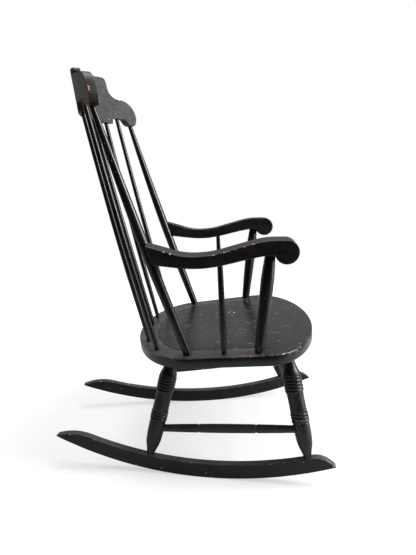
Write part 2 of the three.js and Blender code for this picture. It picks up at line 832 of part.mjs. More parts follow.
// A spindle's two ends: on the seat, and at the crest's lower edge above it
function spindleEnds(place) {
  const [baseShare, topShare, insetShare] = spindlePlaceShares[place];
  const baseX = (baseShare * spindleBaseSpread) / 2;
  const topX = (topShare * spindleTopSpread) / 2;
  const notchShare = Math.abs(topX) / (crestWidth / 2);
  const base = onSeat(baseX, seatRearEdgeAt(baseX) - spindleRearInset * insetShare);
  return { base, top: inCrest(topX, readTable(crestShares.notch, notchShare) * crestNotchHeight) };
}

for (let i = 0; i < spindlePlaceShares.length; i += 1) {
  const { base, top } = spindleEnds(i);
  const length = base.distanceTo(top);
  const bow = bowed(spindleBow, length);
  const profile = spindleProfile(length);
  const hosts = ['seat', 'crest_rail'];
  addTurned(`back_spindle_${i + 1}`, blackPaint, base, top, rearward, spindleFacets, profile, hosts, bow);
}

// Pins through the crest's face into the tops of the second spindles from each side
const pinnedSpindles = { right: 1, left: spindlePlaceShares.length - 2 };
for (const [sideName, number] of Object.entries(pinnedSpindles)) {
  const { base, top } = spindleEnds(number);
  const along = top.clone().sub(base).normalize();
  const centre = top.clone().addScaledVector(along, pinRise);
  const local = centre.clone().applyMatrix4(crestFrame.clone().invert());
  const across = (local.x * crestRadius) / crestMiddleRadius;
  const face = crestPoint(across, local.z, 0).applyMatrix4(crestFrame);
  const inwards = centre.clone().sub(face).normalize();
  const to = face.clone().addScaledVector(inwards, pinLength);
  const hosts = ['crest_rail', `back_spindle_${number + 1}`];
  const profile = [[pinRadius, 0], [pinRadius, pinLength]];
  addTurned(`crest_pin_${sideName}`, bareWood, face, to, up, pegFacets, profile, hosts);
}

// Arms, laid out in side view: X rearwards, Y up from the lowest point of the underside

const postLean = Math.atan(postTopSetback / (crestUndersideHeight - postBase(sides.left).z));

// The middle of a back post at a height above the floor
function postPointAt(side, height) {
  const [base, head] = [postBase(side), postHead(side)];
  const share = (height - base.z) / (head.z - base.z);
  const bow = bowed(postBow, 1)(share) / Math.cos(postLean);
  return base.lerp(head, share).addScaledVector(rearward, bow);
}

const armEndOffset = (postRadius - armBedding) / Math.cos(postLean);

// Level distance from the origin to the rear end of an arm at a height above its underside
function armRearEnd(rise) {
  return postPointAt(sides.left, armHeight + rise).y - armEndOffset;
}

const armOutlineShares = {
  // [share of the reach, share of the rise], the top from the rear end forwards
  top: [
    [0.1, 0.62], [0.2, 0.475], [0.305, 0.43], [0.435, 0.5], [0.57, 0.69], [0.71, 0.895], [0.805, 0.985],
  ],
  under: [
    [0.835, 0.455], [0.757, 0.43], [0.64, 0.3], [0.543, 0.175], [0.44, 0.06], [0.34, 0], [0.22, 0.01],
  ],
};
const armRearShares = { top: 0.79, under: 0.12 };
const scrollNotchShare = 0.27; // how far below the scroll's centre the underside meets it

function armShape() {
  const rear = armRearEnd(armRise / 2);
  const along = (share) => rear - share * armReach;
  const scrollX = along(1) + armScrollRadius;
  const scrollY = armRise - armScrollRadius;
  const rearTop = armRise * armRearShares.top;
  const rearUnder = armRise * armRearShares.under;
  const toPoint = ([share, rise]) => new THREE.Vector2(along(share), rise * armRise);
  const topCurve = new THREE.SplineCurve([
    new THREE.Vector2(armRearEnd(rearTop), rearTop),
    ...armOutlineShares.top.map(toPoint),
    new THREE.Vector2(scrollX, armRise),
  ]);
  const scroll = [];
  const sweep = 3 * quarterTurn - Math.asin(scrollNotchShare);
  for (let i = 1; i <= scrollSegments; i += 1) {
    const turn = quarterTurn + (sweep * i) / scrollSegments;
    const x = scrollX + armScrollRadius * Math.cos(turn);
    scroll.push(new THREE.Vector2(x, scrollY + armScrollRadius * Math.sin(turn)));
  }
  const underCurve = new THREE.SplineCurve([
    ...armOutlineShares.under.map(toPoint),
    new THREE.Vector2(armRearEnd(rearUnder), rearUnder),
  ]);
  const points = [
    ...topCurve.getPoints(armCurveSteps),
    ...scroll,
    ...underCurve.getPoints(armCurveSteps),
  ];
  return new THREE.Shape(points);
}

function armFrame(side) {
  const tilted = new THREE.Vector3(side * Math.sin(armRoll), 0, Math.cos(armRoll));
  const through = new THREE.Vector3().crossVectors(rearward, tilted);
  const origin = new THREE.Vector3(side * (armSpread / 2), 0, armHeight);
  return new THREE.Matrix4().makeBasis(rearward, tilted, through).setPosition(origin);
}

for (const [sideName, side] of Object.entries(sides)) {
  const geometry = new THREE.ExtrudeGeometry(armShape(), { depth: armWidth, bevelEnabled: false });
  geometry.translate(0, 0, -armWidth / 2);
  const frame = armFrame(side);
  addPiece(`arm_${sideName}`, blackPaint, frame, solidOf(geometry).transform(frame.elements));
}

// The rear end of each arm is hollowed to seat on its post
for (const [sideName, side] of Object.entries(sides)) {
  const [base, head] = [postBase(side), postHead(side)];
  const frame = frameAlong(base, head, rearward);
  const length = base.distanceTo(head);
  const body = postProfile(length).slice(2, -1);
  const bend = bowed(postBow, length);
  cut(`arm_${sideName}`, turned(frame, body, postFacets, { grow: fit, bend }));
}

// Height of an arm's underside at a level distance from the origin
function armUndersideAt(y) {
  const rear = armRearEnd(armRise / 2);
  const share = (rear - y) / armReach;
  return armRise * readTable(armOutlineShares.under.slice().reverse(), share);
}

function underArm(side, forward, inset) {
  const y = seatSetback - forward;
  const point = new THREE.Vector3(y, armUndersideAt(y), -inset * side);
  return point.applyMatrix4(armFrame(side));
}

// Arm posts, vase-shaped, and the slender spindles behind them

const armPostShares = [
  // [share of the length, share of the way from the base radius to the largest]
  [0.08, 0.35],
  [0.22, 0.55],
  [0.4, 0.8],
  [0.58, 1],
  [0.74, 1],
  [0.88, 0.6],
];

function armPostProfile(length) {
  const swell = armPostRadius - armPostBaseRadius;
  return [
    [armPostTenonRadius, -postTenonLength],
    [armPostTenonRadius, -armPostShoulderSink],
    [armPostBaseRadius, -armPostShoulderSink],
    [armPostBaseRadius, 0],
    ...armPostShares.map(([along, share]) => [armPostBaseRadius + swell * share, length * along]),
    [armPostTopRadius, length],
    [armPostTopRadius, length + armPostShoulderSink],
    [armPostTenonRadius, length + armPostShoulderSink],
    [armPostTenonRadius, length + armPostTenonLength],
  ];
}

const armSpindleSwellShares = [0.3, 0.65]; // of the length, where it is thickest

function armSpindleProfile(length) {
  return [
    [armSpindleEndRadius, -spindleTenonLength],
    [armSpindleEndRadius, 0],
    ...armSpindleSwellShares.map((share) => [armSpindleRadius, length * share]),
    [armSpindleEndRadius, length],
    [armSpindleEndRadius, length + armSpindleTenonLength],
  ];
}

for (const [sideName, side] of Object.entries(sides)) {
  const hosts = ['seat', `arm_${sideName}`];
  const postFootX = seatHalfWidthAt(-armPostForward) - armPostSideInset;
  const postFoot = onSeat(side * postFootX, -armPostForward);
  const postTop = underArm(side, armPostTopForward, armPostTopInset);
  const postRings = armPostProfile(postFoot.distanceTo(postTop));
  addTurned(`arm_post_${sideName}`, blackPaint, postFoot, postTop, rearward, postFacets, postRings, hosts);
  const footX = seatHalfWidthAt(-armSpindleForward) - armSpindleSideInset;
  const foot = onSeat(side * footX, -armSpindleForward);
  const top = underArm(side, armSpindleTopForward, armSpindleTopInset);
  const rings = armSpindleProfile(foot.distanceTo(top));
  addTurned(`arm_spindle_${sideName}`, blackPaint, foot, top, rearward, spindleFacets, rings, hosts);
}

// A countersunk screw through each back post into the end of the arm
const screwDirection = new THREE.Vector3(0, -Math.cos(screwDrop), -Math.sin(screwDrop));
for (const [sideName, side] of Object.entries(sides)) {
  const level = armHeight + armRise * ((armRearShares.top + armRearShares.under) / 2);
  const centre = postPointAt(side, level);
  const toSurface = postRadius / Math.cos(postLean) - screwHeadRecess;
  const from = centre.clone().addScaledVector(screwDirection, -toSurface);
  const through = 2 * toSurface - armBedding;
  const to = from.clone().addScaledVector(screwDirection, through + screwGrip);
  const length = from.distanceTo(to);
  const profile = [
    [screwHeadRadius, 0],
    [screwHeadRadius, screwHeadThickness / 3],
    [screwRadius, screwHeadThickness],
    [screwRadius, length],
  ];
  const hosts = [`back_post_${sideName}`, `arm_${sideName}`];
  addTurned(`arm_screw_${sideName}`, steel, from, to, up, pegFacets, profile, hosts);
  const bore = [[screwHeadRadius, -overrun], [screwHeadRadius, 0]];
  const frame = frameAlong(from, to, up);
  cut(`back_post_${sideName}`, turned(frame, bore, pegFacets, { grow: fit }));
}

// The chair: one mesh for each piece
const chair = new THREE.Group();
for (const [name, { look, frame, solid }] of pieces) {
  const mesh = new THREE.Mesh(geometryOf(solid, frame), new THREE.MeshStandardMaterial(look));
  mesh.name = name;
  frame.decompose(mesh.position, mesh.quaternion, mesh.scale);
  chair.add(mesh);
}

export default chair;
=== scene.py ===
# %% [markdown]
# A rocking chair in worn black paint, photographed in a white studio.
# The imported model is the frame: it says where every piece is and how large it is.
# This file makes the same pieces again with round edges and smooth turnings,
# gives them their paint, and sets up the camera, the floor and the light.

# %% Load the frame
import math

import bpy
import numpy as np
from mathutils import Matrix, Vector


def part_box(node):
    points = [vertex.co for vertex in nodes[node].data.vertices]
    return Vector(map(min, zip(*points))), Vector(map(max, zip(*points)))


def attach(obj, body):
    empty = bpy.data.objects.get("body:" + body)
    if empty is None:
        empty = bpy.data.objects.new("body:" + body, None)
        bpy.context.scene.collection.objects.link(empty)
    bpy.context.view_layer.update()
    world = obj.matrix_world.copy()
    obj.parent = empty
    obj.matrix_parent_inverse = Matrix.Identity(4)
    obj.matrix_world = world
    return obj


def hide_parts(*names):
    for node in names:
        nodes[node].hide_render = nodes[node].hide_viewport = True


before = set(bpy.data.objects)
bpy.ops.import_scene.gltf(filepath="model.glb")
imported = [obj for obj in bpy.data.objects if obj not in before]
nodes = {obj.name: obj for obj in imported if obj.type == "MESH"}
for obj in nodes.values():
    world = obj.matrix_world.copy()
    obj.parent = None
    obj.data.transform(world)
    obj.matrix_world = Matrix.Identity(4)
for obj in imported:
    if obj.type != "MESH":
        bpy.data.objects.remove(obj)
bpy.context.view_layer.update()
MM = 0.001

# %% [markdown]
# The camera stands at the sitter's right, a little above the arms, and looks down across the chair.
# Its place, turn and lens were worked out from the rockers, the seat and the posts in the photograph.
# A lens is often given in pixels of focal length, so it is turned into millimetres of a 36 mm sensor.

# %% Camera
PHOTO_WIDTH_PX = 416
FOCAL_PX = 500
SENSOR_WIDTH = 36
CAMERA_PLACE = (-1.4426, -0.0484, 0.7998)
CAMERA_DOWN = math.radians(11.866)
CAMERA_YAW = math.radians(0.6475)

bpy.ops.object.camera_add(
    location=CAMERA_PLACE,
    rotation=(math.pi / 2 - CAMERA_DOWN, 0, CAMERA_YAW - math.pi / 2),
)
camera = bpy.context.object
camera.name = "studio_camera"
camera.data.sensor_fit = "HORIZONTAL"
camera.data.sensor_width = SENSOR_WIDTH
camera.data.lens = SENSOR_WIDTH * FOCAL_PX / PHOTO_WIDTH_PX
bpy.context.scene.camera = camera
print("lens in mm:", round(camera.data.lens, 2))

# %% [markdown]
# Shader maths reads best as plain sums. A small class wraps a node's socket, and Python's own
# operators on it add the Math nodes. One method, add, makes any other kind of node.

# %% Shader maths
class Shade:
    """A value or a colour that flows through a material's nodes."""

    def __init__(self, socket):
        self.socket = socket

    def add(self, kind, settings=None, inputs=None, out=0):
        """Adds any other node beside this one. Returns one of its outputs."""
        return add_node(self.socket.id_data, kind, settings, inputs, out)

    def output(self, name):
        """Another output of the node that this value comes from."""
        return Shade(self.socket.node.outputs[name])

    def sum_with(self, operation, *others):
        """Feeds this value and any others to a Math node."""
        return self.add("ShaderNodeMath", {"operation": operation}, dict(enumerate((self, *others))))

    def __add__(self, other):
        return self.sum_with("ADD", other)

    __radd__ = __add__

    def __sub__(self, other):
        return self.sum_with("SUBTRACT", other)

    def __rsub__(self, other):
        return (self * -1) + other

    def __mul__(self, other):
        return self.sum_with("MULTIPLY", other)

    __rmul__ = __mul__

    def most(self, other):
        """The larger of two values."""
        return self.sum_with("MAXIMUM", other)

    def between(self, zero, one):
        """A smooth step from 0 at one value to 1 at another, which may be the smaller."""
        settings = {"interpolation_type": "SMOOTHSTEP"}
        inputs = {"Value": self, "From Min": zero, "From Max": one}
        return self.add("ShaderNodeMapRange", settings, inputs, "Result")


def feed(socket, value):
    """Links a Shade to a socket, or sets the socket to a plain value."""
    if isinstance(value, Shade):
        socket.id_data.links.new(value.socket, socket)
    else:
        socket.default_value = value


def add_node(tree, kind, settings=None, inputs=None, out=0):
    """Sets a new node's settings first, then feeds its sockets, which go by name or number."""
    node = tree.nodes.new(kind)
    for name, value in (settings or {}).items():
        setattr(node, name, value)
    for socket, value in (inputs or {}).items():
        feed(node.inputs[socket], value)
    return Shade(node.outputs[out])


def new_material(name):
    """A material, its Principled shader, and the place of a point on the piece that wears it."""
    material = bpy.data.materials.new(name)
    material.use_nodes = True
    tree = material.node_tree
    shader = next(node for node in tree.nodes if node.type == "BSDF_PRINCIPLED")
    return material, shader, add_node(tree, "ShaderNodeTexCoord", out="Object")


print("the shader helpers are ready")

# %% [markdown]
# The studio has a pale floor and a white backdrop behind the chair, and the room behind the camera
# is dim, so the chair's near side stays dark. The background has to be white without flooding the
# chair with light. So the floor and the world answer the camera with plain white, and reflections
# too on the backdrop's side, while the light that lands on things is calmer.

# %% Studio floor
WHITE = (1, 1, 1, 1)
FLOOR_PLACE = (0.5, 0, 0)
FLOOR_SIZE = (3.4, 3.6, 1)
FLOOR_COLOUR = (0.4, 0.4, 0.4, 1)
FLOOR_ROUGHNESS = 0.9
FLOOR_GLOW_NEAR = 0.54
FLOOR_GLOW_FAR = 0.9
# distances in metres, from the chair's middle and towards the backdrop
GLOW_REACH = (0.45, 1.5)
BACKDROP_FLOOR = (1.1, 2)


def deselect_all():
    """Loading the frame leaves its nodes selected, and an operator acts on all that is selected."""
    for thing in bpy.context.selected_objects:
        thing.select_set(False)


def part_across(vector):
    """The X part of a place or a direction. The backdrop lies on the +X side."""
    return vector.add("ShaderNodeSeparateXYZ", None, {0: vector})


def ray_kinds(beside):
    """1 for rays from the camera, and 1 for rays that a glossy or clear surface sends on."""
    camera_ray = beside.add("ShaderNodeLightPath", out="Is Camera Ray")
    glossy_ray = camera_ray.output("Is Glossy Ray")
    return camera_ray, glossy_ray.most(camera_ray.output("Is Transmission Ray"))


deselect_all()
bpy.ops.mesh.primitive_plane_add(size=1, location=FLOOR_PLACE)
floor = bpy.context.object
floor.name = "studio_floor"
floor.scale = FLOOR_SIZE
bpy.ops.object.transform_apply(location=True, rotation=True, scale=True)

floor_paint, floor_shader, place = new_material("floor_paint")
floor_shader.inputs["Base Color"].default_value = FLOOR_COLOUR
floor_shader.inputs["Roughness"].default_value = FLOOR_ROUGHNESS
floor_shader.inputs["Specular IOR Level"].default_value = 0
floor_shader.inputs["Emission Color"].default_value = WHITE
from_chair = place.add("ShaderNodeVectorMath", {"operation": "LENGTH"}, {0: place}, "Value")
glow = from_chair.between(*GLOW_REACH) * (FLOOR_GLOW_FAR - FLOOR_GLOW_NEAR) + FLOOR_GLOW_NEAR
camera_ray, glossy_ray = ray_kinds(place)
seen_glow = (camera_ray + glossy_ray * part_across(place).between(*BACKDROP_FLOOR)) * glow
feed(floor_shader.inputs["Emission Strength"], seen_glow)
floor.data.materials.append(floor_paint)
print("floor", FLOOR_SIZE[:2], "m")

# %% [markdown]
# A world that is bright all round would shine in every side of the black paint. So reflections
# see a bright world only towards the backdrop and a dark room on the camera's side, while the
# camera sees plain white and the light that lands on the chair is the same from everywhere.

# %% World
WORLD_LIGHT = 0.45
BACKDROP_SHINE = 0.34
ROOM_SHINE = 0.02
BACKDROP_TURN = (-0.15, 0.55)

world = bpy.data.worlds.new("studio_world")
world.use_nodes = True
bpy.context.scene.world = world
sky = world.node_tree.nodes["Background"]
sky.inputs["Color"].default_value = WHITE
direction = add_node(world.node_tree, "ShaderNodeTexCoord", out="Object")
camera_ray, glossy_ray = ray_kinds(direction)
backdrop = part_across(direction).between(*BACKDROP_TURN)
shine = backdrop * (BACKDROP_SHINE - ROOM_SHINE) + ROOM_SHINE
landing = (1 - camera_ray - glossy_ray) * WORLD_LIGHT
feed(sky.inputs["Strength"], camera_ray + glossy_ray * shine + landing)
print("world light", WORLD_LIGHT, "and shine", ROOM_SHINE, "to", BACKDROP_SHINE)

# %% [markdown]
# A tall soft light stands in front of the chair and draws one bright line down every turning. It
# is weaker near the floor, and so it is two lamps. A large one overhead lights the floor and the
# seat, and a weak warm one at the rear left gives part of the brownish gleam on the crest rail's
# back. The rest of that gleam is painted warm light in the rail's colour.

# %% Studio lights
LIGHTS = {
    # name: (place, looks at, width, height, watts, colour)
    "overhead": ((0.3, -0.2, 2.9), (0.1, 0, 0), 1.5, 1.5, 62, (1, 1, 1)),
    "front_high": ((-0.45, -2.25, 2.0), (0, 0, 2.0), 1.1, 1.9, 145, (0.94, 0.97, 1)),
    "front_low": ((-0.4, -2.25, 0.5), (0, 0, 0.5), 1.2, 0.9, 16, (0.94, 0.97, 1)),
    "rear_strip": ((0.8, 2.2, 1.1), (0, 0, 1.0), 0.8, 1.8, 4, (1, 0.8, 0.6)),
}

for name, (place, looks_at, width, height, watts, colour) in LIGHTS.items():
    bpy.ops.object.light_add(type="AREA", location=place)
    lamp = bpy.context.object
    lamp.name = name
    lamp.data.shape = "RECTANGLE"
    lamp.data.size = width
    lamp.data.size_y = height
    lamp.data.energy = watts
    lamp.data.color = colour
    lamp.visible_camera = False
    lamp.rotation_euler = (Vector(looks_at) - Vector(place)).to_track_quat("-Z", "Y").to_euler()
print("lights:", list(LIGHTS))

bpy.context.scene.view_settings.view_transform = "Standard"

# %% [markdown]
# The chair was painted red-brown first and satin black over it, with a brush, a long time ago.
# Where hands, feet and clothes rub, the black is thin and paler. Along the edges, and where
# something knocked against it, it has chipped: first down to the red, then to the pale wood.
# Each piece carries two attributes. "worn" marks its sharp edges. The other is a half on faces
# whose paint has only faded, and on the crest rail's front, whose grey there is a painted sheen. It
# is one on faces that are rubbed thin, and on the crest rail's back and the seat's rim, whose brown
# is partly rubbed paint and partly painted warm light.

# %% Patterns
PALE_WOOD = (0.6, 0.42, 0.27, 1)
CELLS_PER_METRE = 55
WHOLE_SHARE = 0.86
# the radius of a random chip, in cells
LEAST_CHIP = 0.03
CHIP_SPREAD = 0.07
CHIP_CORE = 0.3
WANDER_PER_METRE = 500
EDGE_WANDER = 0.0018


def noise(where, per_metre, stretch=(1, 1, 1), detail=3, out="Fac"):
    """Cloudy noise about 0.5, with so many clouds to the metre."""
    moved = where.add("ShaderNodeMapping", None, {"Vector": where, "Scale": stretch})
    inputs = {"Vector": moved, "Scale": per_metre, "Detail": detail}
    return moved.add("ShaderNodeTexNoise", None, inputs, out)


def blend(amount, first, second):
    """A colour between two. They go to sockets 6 and 7 of a Mix node, and the amount to its first."""
    settings = {"data_type": "RGBA"}
    return amount.add("ShaderNodeMix", settings, {0: amount, 6: first, 7: second}, 2)


def attribute_of(where, name):
    """What a piece's attribute says at a point."""
    return where.add("ShaderNodeAttribute", {"attribute_name": name}, None, "Fac")


def ragged_place(where):
    """A point's place, shaken a little so that a chip's rim is ragged."""
    shake = (EDGE_WANDER,) * 3
    inputs = {0: noise(where, WANDER_PER_METRE, out="Color"), 1: shake, 2: where}
    shaken = where.add("ShaderNodeVectorMath", {"operation": "MULTIPLY_ADD"}, inputs)
    inputs = {0: shaken, 1: (EDGE_WANDER / 2,) * 3}
    return where.add("ShaderNodeVectorMath", {"operation": "SUBTRACT"}, inputs)


def random_chips(where):
    """Scattered chips: one cell in a few holds a chip near its middle."""
    inputs = {"Vector": where, "Scale": CELLS_PER_METRE}
    distance = where.add("ShaderNodeTexVoronoi", None, inputs, "Distance")
    lot = where.add("ShaderNodeSeparateXYZ", None, {0: distance.output("Color")})
    radius = lot.output(1) * CHIP_SPREAD + LEAST_CHIP
    return lot.sum_with("GREATER_THAN", WHOLE_SHARE) * distance.between(radius, radius * CHIP_CORE)


def chip_at(where, x, y, z, radius, depth=1):
    """One chip in its own place, in mm. At a depth of a half it ends in the red."""
    place = (x * MM, y * MM, z * MM)
    reach = where.add("ShaderNodeVectorMath", {"operation": "DISTANCE"}, {0: where, 1: place}, "Value")
    return reach.between(radius * MM, radius * MM * CHIP_CORE) * depth


print("random chips take", round(100 * (1 - WHOLE_SHARE)), "cells in a hundred")

# %% [markdown]
# The layers lie on each other as on the real chair: black, where it has thinned, what has faded,
# what is rubbed, the scratches, and last the chips, which go down to the red and to the wood. The
# faded layer also carries the painted sheen on the crest rail's front, and the rubbed layer the
# painted warm light on the crest rail's back and the seat's rim. Four noises of different size make
# up every layer's pattern, each with its own share, so that the layers agree about where the paint
# is weak.

# %% Layers of the paint
BLACK = (0.0026, 0.0026, 0.003, 1)
THIN_BLACK = (0.008, 0.007, 0.0063, 1)
UNDERCOAT = (0.42, 0.15, 0.09, 1)
# to the metre, and how finely each cloud is broken up
NOISES = {"clouds": (16, 3), "clusters": (70, 2), "brush": (130, 3), "specks": (240, 4)}
# how much of each noise goes into a layer
SHARES = {
    "thin": {"clouds": 1, "brush": 1},
    "bare": {"clouds": 1.2, "clusters": 2.4, "specks": 1.6},
    "faded_and_sheen": {"clouds": 0.5, "brush": 0.5, "clusters": 0.3},
    "wear_and_painted_light": {"brush": 0.7, "clouds": 0.9},
    "dull": {"brush": 0.14, "clusters": 0.22},
    "relief": {"brush": 0.5, "specks": 0.35},
}
BARE_MIDDLE = 2.6
DULL_MIDDLE = 0.088
# where a layer starts to show and where it is full
THIN_SPAN = (0.8, 1.3)
FADED_AND_SHEEN_SPAN = (0, 0.9)
RUBBED_AND_WARM_LIGHT_SPAN = (0.25, 1)
RED_SPAN = (0.3, 0.4)
WOOD_SPAN = (0.6, 0.75)
CHIP_WALL = (0.28, 0.42)
# the attribute's values that stand for faded faces and painted sheen, and for rubbed faces and painted warm
# light
FADED_AND_SHEEN_FACES = (0.1, 0.4)
RUBBED_AND_WARM_LIGHT_FACES = (0.6, 0.9)
RUBBED_DULLNESS = 0.1
CHIP_DULLNESS = 0.3
CHIP_DEPTH = 0.9
RELIEF_STRENGTH = 0.35
RELIEF_HEIGHT = 0.35 * MM


def layer_mix(noises, layer):
    """The sum of a layer's noises, each times its share."""
    scaled = [noises[kind] * share for kind, share in SHARES[layer].items()]
    return sum(scaled[1:], scaled[0])


print("layers of the paint:", list(SHARES))

# %% [markdown]
# A mask says how bare the paint is at each point: sharp edges where the noises agree, random chips
# and chips listed one by one, whichever is most. Where it passes one value the red shows, and where
# it passes a higher one the wood. The same mask makes a chip duller and a little lower.

# %% Black paint
def make_paint(
    name, grain, rubbed_and_warm_light_colour, chips, edge_wear=0, scratched=False, dullness=0.3,
    faded_and_sheen_colour=THIN_BLACK, gloss=0.45,
):
    """Old black paint. The grain draws out the brush marks, and edge_wear bares more of the edges."""
    material, shader, where = new_material(name)
    noises = {
        kind: noise(where, per_metre, grain if kind == "brush" else (1, 1, 1), detail)
        for kind, (per_metre, detail) in NOISES.items()
    }
    mixes = {layer: layer_mix(noises, layer) for layer in SHARES}
    wear_and_painted_light = attribute_of(where, "wear_and_painted_light")
    faded_and_sheen = wear_and_painted_light.between(*FADED_AND_SHEEN_FACES)

    ragged = ragged_place(where)
    bare = attribute_of(where, "worn") * (mixes["bare"] + (edge_wear - BARE_MIDDLE))
    bare = bare.most(random_chips(ragged))
    for chip in chips:
        bare = bare.most(chip_at(ragged, *chip))
    chipped = bare.between(*RED_SPAN)

    colour = blend(mixes["thin"].between(*THIN_SPAN), BLACK, THIN_BLACK)
    # the faded colour: real fading on the seat's top, and a grey painted sheen on the crest rail's front
    colour = blend(faded_and_sheen * mixes["faded_and_sheen"].between(*FADED_AND_SHEEN_SPAN), colour, faded_and_sheen_colour)
    # the rubbed colour: real wear on most pieces, partly painted warm light on the crest's back and the
    # seat's rim
    rubbed_and_warm_light = wear_and_painted_light.between(*RUBBED_AND_WARM_LIGHT_FACES) * mixes["wear_and_painted_light"].between(*RUBBED_AND_WARM_LIGHT_SPAN)
    colour = blend(rubbed_and_warm_light, colour, rubbed_and_warm_light_colour)
    if scratched:
        colour = scratch(colour, where, noises["clusters"], faded_and_sheen)
    colour = blend(chipped, colour, UNDERCOAT)
    feed(shader.inputs["Base Color"], blend(bare.between(*WOOD_SPAN), colour, PALE_WOOD))

    dull = mixes["dull"] + (dullness - DULL_MIDDLE) + wear_and_painted_light * RUBBED_DULLNESS
    feed(shader.inputs["Roughness"], dull + chipped * CHIP_DULLNESS)
    relief = mixes["relief"] - bare.between(*CHIP_WALL) * CHIP_DEPTH
    inputs = {"Height": relief, "Strength": RELIEF_STRENGTH, "Distance": RELIEF_HEIGHT}
    feed(shader.inputs["Normal"], relief.add("ShaderNodeBump", None, inputs, "Normal"))
    shader.inputs["Specular IOR Level"].default_value = gloss
    return material


print("paint is mixed from", BLACK, "over", UNDERCOAT)

# %% [markdown]
# Shoes and clothes scratch the seat and the rockers' tops. A scratch is where a noise drawn out
# into streaks crosses its middle value, which gives hairlines, and patches of two other noises
# break them up. Most run along the grain and a few faint ones across it.

# %% Scratches
SCUFF = (0.25, 0.235, 0.21, 1)
# the streaks' stretch, patches to the metre, strength
STREAKS = [((110, 6, 110), 23, 0.8), ((9, 90, 90), 37, 0.25)]
NOISE_MIDDLE = 0.5
HAIRLINE_SPAN = (0.02, 0.008)
PATCH_SPAN = (0.52, 0.66)
BROKEN_SPAN = (0.35, 0.6)
DOTS_PER_METRE = 140
DOT_SPAN = (0.76, 0.8)


def scratch(colour, where, clusters, on_top):
    """Hairlines and pale dots over a colour, on the faces that the mask on_top marks."""
    for stretch, per_metre, strength in STREAKS:
        off_middle = (noise(where, 1, stretch, detail=0) - NOISE_MIDDLE).sum_with("ABSOLUTE")
        patches = noise(where, per_metre, detail=1).between(*PATCH_SPAN) * strength
        hairlines = off_middle.between(*HAIRLINE_SPAN) * patches * clusters.between(*BROKEN_SPAN)
        colour = blend(hairlines * on_top, colour, SCUFF)
    dots = noise(where, DOTS_PER_METRE, detail=1).between(*DOT_SPAN)
    return blend(dots * on_top, colour, SCUFF)


print("scratches in", len(STREAKS), "directions")

# %% [markdown]
# Each kind of piece has its own version of the paint, because each is worn in its own way. The
# chips that stand out are listed one by one, and the rest are left to chance. The grain runs the
# long way of a piece.

# %% Paint of each kind of piece
# chips: x, y, z and radius in mm, then the depth where it isn't 1
HANDLED_CHIPS = [
    (-248.9, 20.2, 405, 1.9), (-247.6, 22, 396, 1), (-248.7, 17.8, 386.3, 1.4, 0.55),
    (-284.7, -172.9, 506.4, 1), (-269.3, -76.3, 393.1, 0.9),
    (-268.6, 200.7, 864.3, 1.7, 0.55), (-268.5, 185.8, 826.6, 1.8, 0.55), (-268.4, 177.8, 801.5, 1.6, 0.55),
    (-262.2, 159.6, 774.7, 2.2, 0.58), (-203.9, 226.5, 851.6, 1.6, 0.55), (-202.4, 210.4, 787.8, 1.6, 0.55),
    (-202.3, 207.1, 774.6, 1.7, 0.55),
]
LEG_CHIPS = [
    (-274.6, -272.7, 163.1, 1.2), (-263.6, -260.1, 224.7, 1), (-269.1, -270.6, 197.3, 1.1),
    (-266.4, -279.6, 197.8, 0.9), (-278, -286.4, 136.7, 0.9), (-213.7, 89.2, 212.1, 1),
    (-214.3, 96.9, 197.4, 0.9), (-223.4, 101.5, 120, 1.1),
]
SEAT_CHIPS = [
    (116.1, -98, 357.9, 4), (106.3, -115, 359.4, 4.5), (221.9, -164.2, 366.5, 3.4),
    (-180.1, -88.8, 358.8, 1.9), (-195.8, -43, 355.3, 1.5), (-199.8, -218, 371.4, 1.8),
    (-198.1, -297.8, 371.7, 2.6), (-267.2, -256.8, 367.3, 1.6), (-287.9, -233.2, 369, 1.6),
    (-296.6, -215, 369.6, 2), (-299.2, -202.4, 368.5, 2.2), (-186.2, 126.1, 337.3, 2),
]
ROCKER_CHIPS = [
    (-268.4, -232, 62.6, 2.1), (-242.2, -29, 13.9, 2), (-225.4, 91.3, 16.7, 3.4, 0.55),
    (-236.1, 14.7, 12.8, 0.9), (-288.2, -357, 64.3, 2.6), (-241.8, -26, 1.7, 1.2),
    (-244.4, -44.5, 2.6, 1.2),
    (-248.7, -75.2, 27.9, 0.8), (-277.6, -281.2, 68.7, 1.4), (-215.9, 159.1, 19.2, 2),
    (-189.8, 345.4, 94.4, 2.4),
    (168.4, 339.2, 93.6, 3), (172, 313.3, 68, 2.4), (177.7, 272.8, 62, 2.2),
]
ARM_CHIPS = [(-299.8, 67.5, 619.7, 3), (-299.6, 52.5, 615, 3.4)]
CREST_CHIPS = [
    (-288, 226, 984, 4.2, 0.58), (-288, 226, 978, 4, 0.58), (-281, 233, 1008, 3, 0.58),
    (-262, 247, 1021, 3, 1),
]
ALONG_X = (0.1, 1, 1)
ALONG_Y = (1, 0.1, 1)
ALONG_Z = (1, 1, 0.1)
TURNED_RUBBED = (0.026, 0.025, 0.023, 1)
# the seat's rim: pale brown that is partly rubbed paint and partly painted warm reflection
SEAT_RIM_RUBBED_AND_WARM_LIGHT = (0.05, 0.045, 0.039, 1)
SEAT_FADED = (0.011, 0.011, 0.0115, 1)
ROCKER_RUBBED = (0.06, 0.055, 0.05, 1)
ARM_RUBBED = (0.007, 0.0065, 0.006, 1)
# the crest rail's back: brown that is partly rubbed paint and partly painted warm light
CREST_RUBBED_AND_WARM_LIGHT = (0.036, 0.024, 0.014, 1)
# the crest rail's front: a grey painted sheen that stands in for the reflection of the front light
CREST_FRONT_PAINTED_SHEEN = (0.046, 0.047, 0.048, 1)

